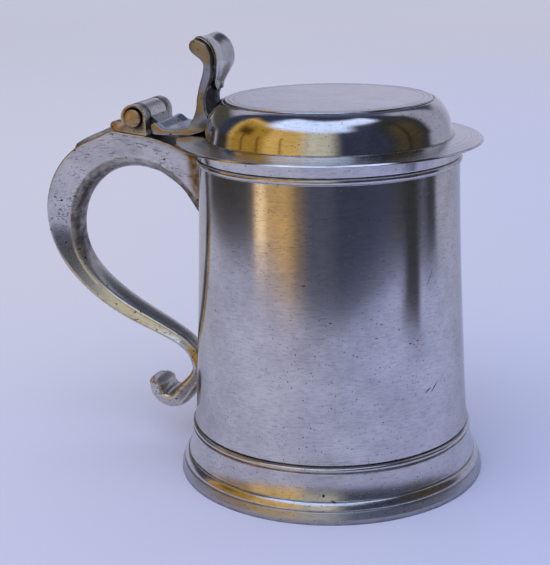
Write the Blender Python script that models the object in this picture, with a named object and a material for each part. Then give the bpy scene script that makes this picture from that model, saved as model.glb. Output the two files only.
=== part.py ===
"""Quart tankard of cast and turned pewter, modelled in metres with +Z up.

A tapering drum stands on a moulded foot ring, which also holds the soldered floor. A scroll
handle carries two hinge lugs and a pin, and the domed lid with its thumbpiece swings on that pin,
back over the handle. The handle points along -X and the hinge pin lies along Y.
"""

from math import cos, hypot, pi, radians, sin, tan

import bmesh
import bpy
from mathutils import Matrix, Vector

MM = 0.001

# Fits between the pieces
SOLDER_GAP = 0.3 * MM       # seam between two soldered pieces
LID_GAP = 0.3 * MM          # closed lid above the lip
BEZEL_PLAY = 0.6 * MM       # bezel inside the lip
PIN_PLAY = 0.35 * MM        # pin in its bores
PIN_WEAR = 0.45 * MM        # extra room worn into the lugs, above the pin
KNUCKLE_PLAY = 0.35 * MM    # sideways, between the knuckle and each lug
KNUCKLE_LIFT = 1.2 * MM     # knuckle above the hinge seat

# Foot ring
FOOT_HEIGHT = 21.5 * MM
FOOT_SPREAD = 6.1 * MM      # edge of the skirt beyond the foot of the drum
FOOT_LAND = 3.4 * MM        # width of the flat ring that it stands on
FOOT_WALL = 2.5 * MM
SKIRT_HEIGHT = 4.7 * MM
SKIRT_LEAN = 1.1 * MM
SKIRT_QUIRK = 0.5 * MM      # groove above the skirt
ROUND_HEIGHT = 3.0 * MM     # quarter round above the groove
ROUND_DEPTH = 1.5 * MM
COVE_POWER = 1.6            # how quickly the cove draws in
COVE_FILLET = 0.6 * MM
COVE_PROUD = 0.9 * MM       # top of the cove beyond the foot of the drum
FOOT_BEAD = 2.0 * MM        # height of the bead under the drum
FOOT_QUIRK = 0.45 * MM      # grooves below and above that bead
LEDGE_DROP = 7.5 * MM       # floor ledge below the top of the foot ring
LEDGE_WIDTH = 2.3 * MM
LEDGE_THICKNESS = 2.0 * MM
SPIGOT_HEIGHT = 3.5 * MM    # upstand inside the drum
SPIGOT_WALL = 1.6 * MM
FLOOR_THICKNESS = 2.0 * MM
FLOOR_EASE = 0.4 * MM

# Drum
DRUM_HEIGHT = 116.1 * MM    # from the foot ring to the lip
DRUM_TOP_RADIUS = 52.3 * MM
DRUM_TAPER = 4.6 * MM       # how much wider the drum is at its foot
TAPER_POWER = 1.4
FLARE = 0.5 * MM            # small outward sweep at the very foot
FLARE_HEIGHT = 9.0 * MM
DRUM_WALL = 2.1 * MM
LIP_HEIGHT = 5.3 * MM
LIP_PROUD = 1.2 * MM        # lip band beyond the drum
LIP_WALL = 2.5 * MM
LIP_EASE = 0.4 * MM
BEAD_HEIGHT = 2.4 * MM
BEAD_PROUD = 0.9 * MM
BEAD_QUIRK = 0.3 * MM       # groove between the bead and the lip band

# Lid
FLANGE_OVERHANG = 7.8 * MM  # flange beyond the lip
FLANGE_RIM = 0.8 * MM       # thickness of the flange at its edge
FLANGE_RISE = 1.0 * MM      # rise of its top towards the dome
DOME_INSET = 3.4 * MM       # foot of the dome inside the lip band
DOME_COVE = 1.4 * MM
DOME_COVE_HEIGHT = 4.4 * MM
SHOULDER_RUN = 6.4 * MM     # round shoulder, measured inward
SHOULDER_RISE = 9.8 * MM
SHOULDER_POWER = 1.4        # 1 gives a straight bevel, 2 a quarter ellipse
TOP_STEP = 0.6 * MM         # raised flat top
TOP_STEP_RUN = 1.2 * MM
LID_WALL = 2.0 * MM
BEZEL_DEPTH = 4.0 * MM
BEZEL_WALL = 1.5 * MM

# Hinge
PIN_RADIUS = 3.3 * MM
PIN_EASE = 0.4 * MM
PIN_SETBACK = 17.7 * MM     # pin axis beyond the flange
PIN_RISE = 7.6 * MM         # pin axis above the underside of the flange
PIN_PROUD = 1.2 * MM        # pin beyond the faces of the lugs
KNUCKLE_RADIUS = 5.5 * MM
HINGE_LENGTH = 27.5 * MM
LUG_WIDTH = 5.3 * MM
LUG_FLANK = 25.0            # degrees below level where the toe leaves the barrel
TOE_REACH = 10.4 * MM       # end of the toe, from the pin axis
TOE_HEIGHT = 3.7 * MM

# Leaf and thumbpiece
LEAF_CLEARANCE = 2.4 * MM   # end of the leaf beyond the barrels of the lugs
LEAF_DEPTH = 2.4 * MM
LEAF_END_DEPTH = 4.8 * MM
STEM_DEPTH = 3.3 * MM
STEM_WIDTH = 18.0 * MM
HEAD_DEPTH = 6.2 * MM
HEAD_WIDTH = 23.5 * MM
THUMB_HEIGHT = 38.4 * MM    # above the underside of the leaf
THUMB_SWAY = 4.6 * MM       # how far the head leans in over the lid
SHIELD_PROUD = 1.6 * MM     # raised tongue on the front of the head
SHIELD_SINK = 1.0 * MM
SHIELD_MARGIN = 1.7 * MM    # border left at each side of the tongue
SHIELD_TIP_WIDTH = 3.0 * MM

# Handle
HANDLE_PROJECTION = 71.3 * MM   # back of the bow beyond the top of the drum
BACK_RADIUS = 37.6 * MM
INNER_RADIUS = 28.6 * MM
BOW_DROP = 0.55 * MM        # top of the round bow below the hinge seat
ARCH_DEPTH = 14.8 * MM      # under the hinge
BOW_DEPTH = 12.0 * MM       # at the outermost point
SEAT_BACK = 5.3 * MM        # hinge seat, from the pin axis towards the drum
SEAT_TILT = 6.5             # degrees that the hinge seat rises away from the drum
JOINT_DROP = 7.7 * MM       # top of the upper joint below the lip
JOINT_TAIL = 41.0 * MM      # lowest point of the upper joint below the lip
JOINT_RISE = 11.0           # degrees that the back rises away from the drum
JOINT_STEEPNESS = 70.0      # degrees of the inner side where it leaves the drum
JOINT_PULL = 9.0 * MM       # how far the handle keeps its direction at each end of the joint
JOINT_SINK = 2.4 * MM       # rough length that the drum's curve is cut from
CONTACT_RISE = 16.2 * MM    # lower joint above the foot of the drum
CONTACT_SINK = 0.6 * MM
STRAP_DEPTH = 3.6 * MM      # at the lower joint
STRAP_LEAN = -96.0          # degrees, direction of the handle at the lower joint
BACK_RUN_PULL = 35.0 * MM   # how far the lower run keeps its direction below the bow
INNER_RUN_PULL = 24.0 * MM
BACK_FOOT_PULL = 15.0 * MM  # and above the lower joint
INNER_FOOT_PULL = 17.0 * MM
BRIDGE_PULL = 6.0 * MM      # and between the lower joint and the curl
CURL_RADIUS = 7.3 * MM
CURL_DEPTH = 6.0 * MM
CURL_OUT = 15.4 * MM        # centre of the curl from the drum wall
CURL_DROP = 10.4 * MM       # centre of the curl below the lower joint
CURL_START = -150.0         # degrees
CURL_END = 2.0
CURL_CAP = 20.0             # degrees that the rounded end takes up
BACK_BOW_START = 72.0       # degrees where the back is round, beyond the hinge seat
BACK_BOW_END = -40.0        # degrees where the round bow turns into the lower run
INNER_BOW_START = 156.0
INNER_SEAT_ANGLE = 117.0    # inner side opposite the start of the hinge seat
INNER_TOE_ANGLE = 86.0      # and opposite its end
INNER_BOW_END = -37.0
TAIL_RISE = 1.4 * MM        # tongue on the back of the handle, behind the hinge
TAIL_WIDTH = 20.0 * MM
TAIL_START = 1.0 * MM       # beyond the toes of the lugs
TAIL_LENGTH = 21.0 * MM
JOINT_WIDTH = 22.0 * MM
BOW_WIDTH = 18.5 * MM
CONTACT_WIDTH = 11.5 * MM
CURL_WIDTH = 15.0 * MM
EDGE_ROUND = 0.7 * MM
BACK_CROWN = 0.3 * MM
SIDE_SHARE = 0.68           # flat part of the handle's sides, as a share of its depth
INNER_SHARE = 0.54          # width where the inner side turns round, as a share of the back
SECTION_POWER = 2.4         # fullness of the rounded inner side

# Fineness of the curves
TURN_STEPS = 60
BARREL_STEPS = 18
PIN_STEPS = 24
SECTION_STEPS = 10
RIBBON_STEPS = 14
RIBBON_POWER = 5.0          # squareness of the thumbpiece's section
RIBBON_SECTIONS = 30

# Places that follow from the sizes
DRUM_Z = FOOT_HEIGHT + SOLDER_GAP
LIP_Z = DRUM_Z + DRUM_HEIGHT
BEAD_Z = LIP_Z - LIP_HEIGHT - BEAD_QUIRK - BEAD_HEIGHT
LIP_RADIUS = DRUM_TOP_RADIUS + LIP_PROUD
LIP_BORE = LIP_RADIUS - LIP_WALL
DRUM_FOOT_RADIUS = DRUM_TOP_RADIUS + DRUM_TAPER + FLARE
FOOT_RADIUS = DRUM_FOOT_RADIUS + FOOT_SPREAD
SPIGOT_RADIUS = DRUM_FOOT_RADIUS - DRUM_WALL - SOLDER_GAP - FLARE
SPIGOT_BORE = SPIGOT_RADIUS - SPIGOT_WALL
LEDGE_Z = FOOT_HEIGHT - LEDGE_DROP
LID_Z = LIP_Z + LID_GAP
FLANGE_RADIUS = LIP_RADIUS + FLANGE_OVERHANG
DOME_RADIUS = LIP_RADIUS - DOME_INSET
DOME_Z = LID_Z + FLANGE_RIM + FLANGE_RISE
PIN_REACH = FLANGE_RADIUS + PIN_SETBACK
PIN_Z = LID_Z + PIN_RISE
SEAT_Z = PIN_Z - (KNUCKLE_RADIUS + KNUCKLE_LIFT) / cos(radians(SEAT_TILT))
LEAF_Z = LID_Z + FLANGE_RIM + SOLDER_GAP
LEAF_END = PIN_REACH - KNUCKLE_RADIUS - LEAF_CLEARANCE
HANDLE_REACH = DRUM_TOP_RADIUS + HANDLE_PROJECTION
CONTACT_Z = DRUM_Z + CONTACT_RISE
AXIS_X = (HANDLE_REACH - FOOT_RADIUS) / 2    # centres the tankard over the origin


def drum_radius(z):
    """Outer radius of the drum wall at a height."""
    share = max(0.0, (BEAD_Z - z) / (BEAD_Z - DRUM_Z))
    sweep = max(0.0, 1 - (z - DRUM_Z) / FLARE_HEIGHT)
    return DRUM_TOP_RADIUS + DRUM_TAPER * share ** TAPER_POWER + FLARE * sweep ** 2


def seat_z(reach):
    """Height of the tilted hinge seat on the handle."""
    return SEAT_Z + (reach - PIN_REACH) * tan(radians(SEAT_TILT))


# Curves in the plane of the handle, as (distance from the drum's axis, height)

def spread(first, last, count):
    """Evenly spaced numbers, both ends included."""
    return [first + (last - first) * i / (count - 1) for i in range(count)]


def ease(share):
    """A share from 0 to 1 that starts and ends gently."""
    return share * share * (3 - 2 * share)


def polar(centre, radius, degrees):
    """The point at an angle round a centre."""
    return (centre[0] + radius * cos(radians(degrees)), centre[1] + radius * sin(radians(degrees)))


def arc(centre, radius, start, end, count):
    """Points on an arc between two angles in degrees."""
    return [polar(centre, radius, angle) for angle in spread(start, end, count)]


def pull(length, degrees):
    """A step of a length in a direction."""
    return polar((0.0, 0.0), length, degrees)


def sweep_curve(start, start_pull, end_pull, end, count=12):
    """Points on a cubic curve that leaves and arrives along the two pulls."""
    corners = (start, (start[0] + start_pull[0], start[1] + start_pull[1]),
               (end[0] - end_pull[0], end[1] - end_pull[1]), end)
    points = []
    for t in spread(0.0, 1.0, count):
        weights = ((1 - t) ** 3, 3 * t * (1 - t) ** 2, 3 * t * t * (1 - t), t ** 3)
        points.append(tuple(sum(w * c[k] for w, c in zip(weights, corners)) for k in (0, 1)))
    return points


def through(stations, count):
    """Stations on a smooth curve through the given ones, at even steps between them."""
    last = len(stations) - 1
    out = []
    for place in spread(0.0, last, count):
        i = min(int(place), last - 1)
        t = place - i
        near = [stations[max(0, min(last, i + k))] for k in (-1, 0, 1, 2)]
        out.append(tuple(
            b + 0.5 * t * (c - a + t * (2 * a - 5 * b + 4 * c - d + t * (3 * (b - c) + d - a)))
            for a, b, c, d in zip(*near)))
    return out


def distances(points):
    """Distance of each point of a line from its start, along the line."""
    out = [0.0]
    for a, b in zip(points, points[1:]):
        out.append(out[-1] + hypot(b[0] - a[0], b[1] - a[1]))
    return out


def stretch(points, first, last, count):
    """Part of a line between two distances along it, as points at equal steps."""
    lengths = distances(points)
    out = []
    i = 0
    for target in spread(first, last, count):
        while i < len(points) - 2 and lengths[i + 1] < target:
            i += 1
        t = (target - lengths[i]) / (lengths[i + 1] - lengths[i])
        out.append(tuple(a + (b - a) * t for a, b in zip(points[i], points[i + 1])))
    return out


def even(points, count):
    """The same line as points at equal distances along it."""
    return stretch(points, 0.0, distances(points)[-1], count)


def half_round(radius, z, height, proud, count):
    """A bead on a turned wall, listed upwards."""
    return [(radius + proud * sin(a), z + height * (1 - cos(a)) / 2) for a in spread(0.0, pi, count)]


def widened(profile, gap):
    """A turned profile that is listed downwards, moved outward by a gap."""
    out = []
    for i, (r, z) in enumerate(profile):
        before, after = profile[max(0, i - 1)], profile[min(len(profile) - 1, i + 1)]
        dr, dz = after[0] - before[0], after[1] - before[1]
        length = hypot(dr, dz)
        out.append((max(0.0, r - gap * dz / length), z + gap * dr / length))
    return out


# Objects

def empty(name, location, parent=None):
    """An empty that carries pieces."""
    result = bpy.data.objects.new(name, None)
    bpy.context.scene.collection.objects.link(result)
    result.location = location
    result.parent = parent
    return result


def metal(name, colour, roughness):
    """A plain metal finish."""
    material = bpy.data.materials.new(name)
    material.use_nodes = True
    shader = material.node_tree.nodes["Principled BSDF"]
    shader.inputs["Base Color"].default_value = (*colour, 1.0)
    shader.inputs["Metallic"].default_value = 1.0
    shader.inputs["Roughness"].default_value = roughness
    return material


def finish(name, bm, material, parent):
    """Turn a bmesh that is drawn round the drum's axis into an object under its parent."""
    bmesh.ops.recalc_face_normals(bm, faces=bm.faces)
    mesh = bpy.data.meshes.new(name)
    bm.to_mesh(mesh)
    bm.free()
    if parent.parent:
        mesh.transform(Matrix.Translation(-parent.location))
    mesh.shade_smooth()
    mesh.set_sharp_from_angle(angle=radians(32))
    mesh.materials.append(material)
    result = bpy.data.objects.new(name, mesh)
    bpy.context.scene.collection.objects.link(result)
    result.parent = parent
    return result


def turned(name, profile, material, parent):
    """Spin a profile of (radius, height) about the drum's axis.

    A profile that starts on the axis ends on it too, and any other one is a closed loop.
    """
    bm = bmesh.new()
    verts = [bm.verts.new((r, 0.0, z)) for r, z in profile]
    edges = [bm.edges.new(pair) for pair in zip(verts, verts[1:])]
    if profile[0][0] > 0.0:
        edges.append(bm.edges.new((verts[-1], verts[0])))
    bmesh.ops.spin(bm, geom=verts + edges, axis=(0, 0, 1), cent=(0, 0, 0), angle=2 * pi,
                   steps=TURN_STEPS, use_merge=True)
    bmesh.ops.remove_doubles(bm, verts=bm.verts, dist=0.001 * MM)
    return finish(name, bm, material, parent)


def lofted(name, sections, material, parent):
    """Skin a row of sections and close its ends."""
    bm = bmesh.new()
    rings = [[bm.verts.new(point) for point in section] for section in sections]
    for a, b in zip(rings, rings[1:]):
        for i in range(len(a)):
            bm.faces.new((a[i - 1], a[i], b[i], b[i - 1]))
    bm.faces.new(rings[0])
    bm.faces.new(rings[-1])
    return finish(name, bm, material, parent)


def plate(name, outline, y, width, material, parent):
    """Extrude an outline in the plane of the handle along the hinge axis."""
    bm = bmesh.new()
    face = bm.faces.new([bm.verts.new((-reach, y, z)) for reach, z in outline])
    side = bmesh.ops.extrude_face_region(bm, geom=[face])
    moved = [item for item in side["geom"] if isinstance(item, bmesh.types.BMVert)]
    bmesh.ops.translate(bm, verts=moved, vec=(0.0, width, 0.0))
    return finish(name, bm, material, parent)


def combine(piece, tool, operation):
    """Cut a piece with a tool, or join the tool to it."""
    tool.hide_render = True
    tool.display_type = "WIRE"
    boolean = piece.modifiers.new(tool.name, "BOOLEAN")
    boolean.operation = operation
    boolean.solver = "EXACT"
    boolean.object = tool


# Vessel

def drum_outside():
    """Outside of the drum, from the foot ring up to the lip."""
    flare = spread(DRUM_Z, DRUM_Z + FLARE_HEIGHT, 4)
    wall = spread(DRUM_Z + FLARE_HEIGHT, BEAD_Z, 6)[1:-1]
    points = [(drum_radius(z), z) for z in flare + wall]
    points += half_round(DRUM_TOP_RADIUS, BEAD_Z, BEAD_HEIGHT, BEAD_PROUD, 6)
    band_z = LIP_Z - LIP_HEIGHT
    return points + [(LIP_RADIUS - LIP_EASE, band_z), (LIP_RADIUS, band_z + LIP_EASE),
                     (LIP_RADIUS, LIP_Z - LIP_EASE), (LIP_RADIUS - LIP_EASE, LIP_Z)]


def make_drum(material, parent):
    """Tapering drum with a bead and a lip band, and a bore that widens inside the lip."""
    band_z = LIP_Z - LIP_HEIGHT
    bore = [(LIP_BORE + LIP_EASE, LIP_Z), (LIP_BORE, LIP_Z - LIP_EASE), (LIP_BORE, band_z)]
    for z in spread(BEAD_Z, DRUM_Z, 5):
        sweep = drum_radius(z) - FLARE * max(0.0, 1 - (z - DRUM_Z) / FLARE_HEIGHT) ** 2
        bore.append((sweep - DRUM_WALL, z))
    return turned("drum", drum_outside() + bore, material, parent)


def make_base_moulding(material, parent):
    """Foot ring: skirt, groove, quarter round, cove and bead, with a floor ledge inside."""
    skirt_top = FOOT_RADIUS - SKIRT_LEAN
    round_z = SKIRT_HEIGHT + SKIRT_QUIRK
    round_foot = (skirt_top - SKIRT_QUIRK / 2 - ROUND_DEPTH, round_z)
    bead_z = FOOT_HEIGHT - FOOT_QUIRK - FOOT_BEAD
    cove_top = DRUM_FOOT_RADIUS + COVE_PROUD
    cove_z = (round_z + ROUND_HEIGHT, bead_z - FOOT_QUIRK - COVE_FILLET)

    profile = [(FOOT_RADIUS, 0.0), (FOOT_RADIUS - SKIRT_LEAN / 8, SKIRT_HEIGHT * 0.4),
               (skirt_top, SKIRT_HEIGHT), (skirt_top - SKIRT_QUIRK, SKIRT_HEIGHT + SKIRT_QUIRK / 2)]
    profile += [(round_foot[0] + ROUND_DEPTH * cos(a), round_z + ROUND_HEIGHT * sin(a))
                for a in spread(0.0, pi / 2, 5)]
    for share in spread(0.8, 0.0, 5):
        profile.append((cove_top + (round_foot[0] - cove_top) * share ** COVE_POWER,
                        cove_z[1] - (cove_z[1] - cove_z[0]) * share))
    profile += [(cove_top, bead_z - FOOT_QUIRK), (cove_top - FOOT_QUIRK, bead_z - FOOT_QUIRK / 2)]
    profile += half_round(DRUM_FOOT_RADIUS, bead_z, FOOT_BEAD, COVE_PROUD, 6)
    profile += [(DRUM_FOOT_RADIUS, FOOT_HEIGHT), (SPIGOT_RADIUS, FOOT_HEIGHT)]
    spigot_z = FOOT_HEIGHT + SPIGOT_HEIGHT
    ledge_bore = SPIGOT_BORE - LEDGE_WIDTH
    profile += [(SPIGOT_RADIUS, spigot_z), (SPIGOT_BORE, spigot_z), (SPIGOT_BORE, LEDGE_Z),
                (ledge_bore, LEDGE_Z), (ledge_bore, LEDGE_Z - LEDGE_THICKNESS),
                (round_foot[0] - FOOT_WALL, cove_z[0]), (FOOT_RADIUS - FOOT_LAND, SKIRT_HEIGHT / 2),
                (FOOT_RADIUS - FOOT_LAND, 0.0)]
    return turned("base_moulding", profile, material, parent)


def make_bottom_disc(material, parent):
    """Floor, soldered on the ledge of the foot ring."""
    radius = SPIGOT_BORE - SOLDER_GAP
    low = LEDGE_Z + SOLDER_GAP
    high = low + FLOOR_THICKNESS
    profile = [(0.0, high), (radius - FLOOR_EASE, high), (radius, high - FLOOR_EASE),
               (radius, low), (0.0, low)]
    return turned("bottom_disc", profile, material, parent)


# Lid

def shoulder(inset, count):
    """Round shoulder of the lid, listed downwards, drawn in by the thickness of the wall."""
    power = 2 / SHOULDER_POWER
    foot = DOME_RADIUS - DOME_COVE - SHOULDER_RUN - inset
    low = DOME_Z + DOME_COVE_HEIGHT
    return [(foot + SHOULDER_RUN * cos(a) ** power, low + (SHOULDER_RISE - inset) * sin(a) ** power)
            for a in spread(pi / 2, 0.0, count)]


def lid_outside():
    """Outside of the lid, from the middle of its top down to the rim of the flange."""
    top_radius = DOME_RADIUS - DOME_COVE - SHOULDER_RUN - TOP_STEP_RUN
    top_z = DOME_Z + DOME_COVE_HEIGHT + SHOULDER_RISE + TOP_STEP
    points = [(0.0, top_z), (top_radius, top_z), (top_radius + TOP_STEP / 2, top_z - TOP_STEP)]
    points += shoulder(0.0, 7)
    points += [(DOME_RADIUS - DOME_COVE * cos(a), DOME_Z + DOME_COVE_HEIGHT * (1 - sin(a)))
               for a in spread(0.0, pi / 2, 5)][1:]
    rim_z = LID_Z + FLANGE_RIM
    return points + [(FLANGE_RADIUS - FLANGE_RIM / 2, rim_z), (FLANGE_RADIUS, LID_Z + FLANGE_RIM / 2)]


def make_lid(material, parent):
    """Turned lid: thin flange, round-shouldered dome and flat top, hollow underneath."""
    hollow = [(DOME_RADIUS - DOME_COVE / 2 - LID_WALL, LID_Z)] + shoulder(LID_WALL, 4)[::-1]
    profile = lid_outside() + [(FLANGE_RADIUS - FLANGE_RIM / 2, LID_Z)] + hollow
    return turned("lid", profile + [(0.0, hollow[-1][1])], material, parent)


def make_lid_bezel(material, parent):
    """Ring under the lid that drops inside the lip."""
    outer = LIP_BORE - BEZEL_PLAY
    high = LID_Z - SOLDER_GAP
    low = high - BEZEL_DEPTH
    profile = [(outer, high), (outer, low + LIP_EASE), (outer - LIP_EASE, low),
               (outer - BEZEL_WALL, low), (outer - BEZEL_WALL, high)]
    return turned("lid_bezel", profile, material, parent)


# Hinge and thumbpiece

def make_pin(material, parent):
    """Hinge pin, a little proud of the lugs and eased at its ends."""
    half = HINGE_LENGTH / 2 + PIN_PROUD
    rings = ((-half, PIN_RADIUS - PIN_EASE), (PIN_EASE - half, PIN_RADIUS),
             (half - PIN_EASE, PIN_RADIUS), (half, PIN_RADIUS - PIN_EASE))
    turns = spread(0.0, 360.0, PIN_STEPS + 1)[:-1]
    sections = []
    for y, radius in rings:
        points = [polar((PIN_REACH, PIN_Z), radius, angle) for angle in turns]
        sections.append([(-reach, y, z) for reach, z in points])
    return lofted("hinge_pin", sections, material, parent)


def pin_bore(name, wear, material, parent):
    """Tool for the bores that the pin runs through, worn wider up and towards the drum."""
    centre = polar((PIN_REACH, PIN_Z), wear, 135.0)
    outline = arc(centre, PIN_RADIUS + PIN_PLAY + wear, 0.0, 360.0, PIN_STEPS + 1)[:-1]
    return plate(name, outline, -HINGE_LENGTH, 2 * HINGE_LENGTH, material, parent)


def make_lug(name, y, material, parent):
    """Hinge lug: a barrel on a tilted foot, with a rounded toe along the back of the handle."""
    flank = PIN_REACH - KNUCKLE_RADIUS
    toe_end = PIN_REACH + TOE_REACH
    toe_round = TOE_HEIGHT / 2
    toe_centre = (toe_end - toe_round, seat_z(toe_end) + SOLDER_GAP + toe_round)
    sole = toe_end - toe_round
    outline = [(flank, seat_z(flank) + SOLDER_GAP)]
    outline += arc((PIN_REACH, PIN_Z), KNUCKLE_RADIUS, 180.0, -LUG_FLANK, BARREL_STEPS)
    outline += arc(toe_centre, toe_round, 90.0, -50.0, 7)
    outline.append((sole, seat_z(sole) + SOLDER_GAP))
    lug = plate(name, outline, y, LUG_WIDTH, material, parent)
    combine(lug, pin_bore(name + "_bore", PIN_WEAR, material, parent), "DIFFERENCE")
    return lug


def ribbon_sections(stations):
    """Sections of a bar along stations of (reach, height, depth, width), and its front line."""
    power = 2 / RIBBON_POWER
    sections = []
    front = []
    for i, (reach, z, depth, width) in enumerate(stations):
        before, after = stations[max(0, i - 1)], stations[min(len(stations) - 1, i + 1)]
        along = Vector((after[0] - before[0], after[1] - before[1])).normalized()
        normal = Vector((along[1], -along[0]))
        ring = []
        for a in spread(0.0, 2 * pi, RIBBON_STEPS + 1)[:-1]:
            across = abs(cos(a)) ** power * (1 if cos(a) > 0 else -1) * width / 2
            out = abs(sin(a)) ** power * (1 if sin(a) > 0 else -1) * depth / 2
            ring.append((-reach - normal[0] * out, across, z + normal[1] * out))
        sections.append(ring)
        front.append((reach - normal[0] * depth / 2, z - normal[1] * depth / 2, normal))
    return sections, front


def thumb_stations():
    """Middle line of leaf, stem and head: reach, height, depth and width."""
    leaf_mid = LEAF_Z + LEAF_DEPTH / 2
    end_mid = LEAF_Z + LEAF_END_DEPTH / 2
    stem = DOME_RADIUS + STEM_DEPTH * 0.28
    head = stem - THUMB_SWAY
    up = THUMB_HEIGHT
    leaf_run = LEAF_END - stem
    return [
        (LEAF_END - LEAF_END_DEPTH * 0.05, end_mid, LEAF_END_DEPTH * 0.55, HINGE_LENGTH),
        (LEAF_END - LEAF_END_DEPTH * 0.25, end_mid, LEAF_END_DEPTH, HINGE_LENGTH),
        (LEAF_END - leaf_run * 0.26, leaf_mid, LEAF_DEPTH * 1.15, HINGE_LENGTH),
        (LEAF_END - leaf_run * 0.58, leaf_mid, LEAF_DEPTH, HINGE_LENGTH),
        (LEAF_END - leaf_run * 0.84, leaf_mid + LEAF_DEPTH * 0.3, LEAF_DEPTH * 1.4, HINGE_LENGTH),
        (stem + STEM_DEPTH * 0.2, LEAF_Z + up * 0.12, STEM_DEPTH * 1.6, HINGE_LENGTH * 0.9),
        (stem, LEAF_Z + up * 0.245, STEM_DEPTH * 1.25, STEM_WIDTH * 1.1),
        (stem, LEAF_Z + up * 0.375, STEM_DEPTH, STEM_WIDTH),
        (stem - THUMB_SWAY * 0.34, LEAF_Z + up * 0.505, STEM_DEPTH * 1.1, STEM_WIDTH * 1.05),
        (head + THUMB_SWAY * 0.16, LEAF_Z + up * 0.64, STEM_DEPTH * 1.15, HEAD_WIDTH * 0.93),
        (head, LEAF_Z + up * 0.745, HEAD_DEPTH * 0.6, HEAD_WIDTH),
        (head + HEAD_DEPTH * 0.14, LEAF_Z + up * 0.825, HEAD_DEPTH * 0.84, HEAD_WIDTH),
        (head + HEAD_DEPTH * 0.44, LEAF_Z + up * 0.885, HEAD_DEPTH, HEAD_WIDTH),
        (head + HEAD_DEPTH * 0.84, LEAF_Z + up * 0.923, HEAD_DEPTH * 0.94, HEAD_WIDTH * 0.98),
        (head + HEAD_DEPTH * 1.12, LEAF_Z + up * 0.941, HEAD_DEPTH * 0.68, HEAD_WIDTH * 0.95),
        (head + HEAD_DEPTH * 1.24, LEAF_Z + up * 0.948, HEAD_DEPTH * 0.32, HEAD_WIDTH * 0.92),
    ]


def make_thumbpiece(material, parent):
    """Leaf on the flange, middle knuckle and rolled thumbpiece with its raised tongue."""
    stations = through(thumb_stations(), RIBBON_SECTIONS)
    sections, front = ribbon_sections(stations)
    thumb = lofted("thumbpiece", sections, material, parent)

    tongue = []
    first, last = int(RIBBON_SECTIONS * 0.56), int(RIBBON_SECTIONS * 0.9)
    for i in range(first, last + 1):
        reach, z, normal = front[i]
        full = stations[i][3] - 2 * SHIELD_MARGIN
        share = min(1.0, (i - first) / (0.4 * (last - first)))
        offset = (SHIELD_PROUD - SHIELD_SINK) / 2
        tongue.append((reach - normal[0] * offset, z - normal[1] * offset,
                       SHIELD_PROUD + SHIELD_SINK,
                       SHIELD_TIP_WIDTH + (full - SHIELD_TIP_WIDTH) * ease(share)))
    shield = lofted("thumb_tongue", ribbon_sections(tongue)[0], material, parent)
    combine(thumb, shield, "UNION")

    width = HINGE_LENGTH - 2 * (LUG_WIDTH + KNUCKLE_PLAY)
    outline = arc((PIN_REACH, PIN_Z), KNUCKLE_RADIUS, 178.0, -95.0, 2 * BARREL_STEPS)
    neck = LEAF_END - LEAF_END_DEPTH / 2
    outline += [(neck, LEAF_Z + LEAF_END_DEPTH * 0.2), (neck, LEAF_Z + LEAF_END_DEPTH * 0.6)]
    knuckle = plate("thumb_knuckle", outline, -width / 2, width, material, parent)
    combine(thumb, knuckle, "UNION")

    combine(thumb, pin_bore("knuckle_bore", 0.0, material, parent), "DIFFERENCE")
    room = widened(lid_outside() + [(FLANGE_RADIUS - FLANGE_RIM / 2, LID_Z)], SOLDER_GAP)
    room = room + [(0.0, room[-1][1])]
    combine(thumb, turned("lid_room", room, material, parent), "DIFFERENCE")
    return thumb


# Handle

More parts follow.
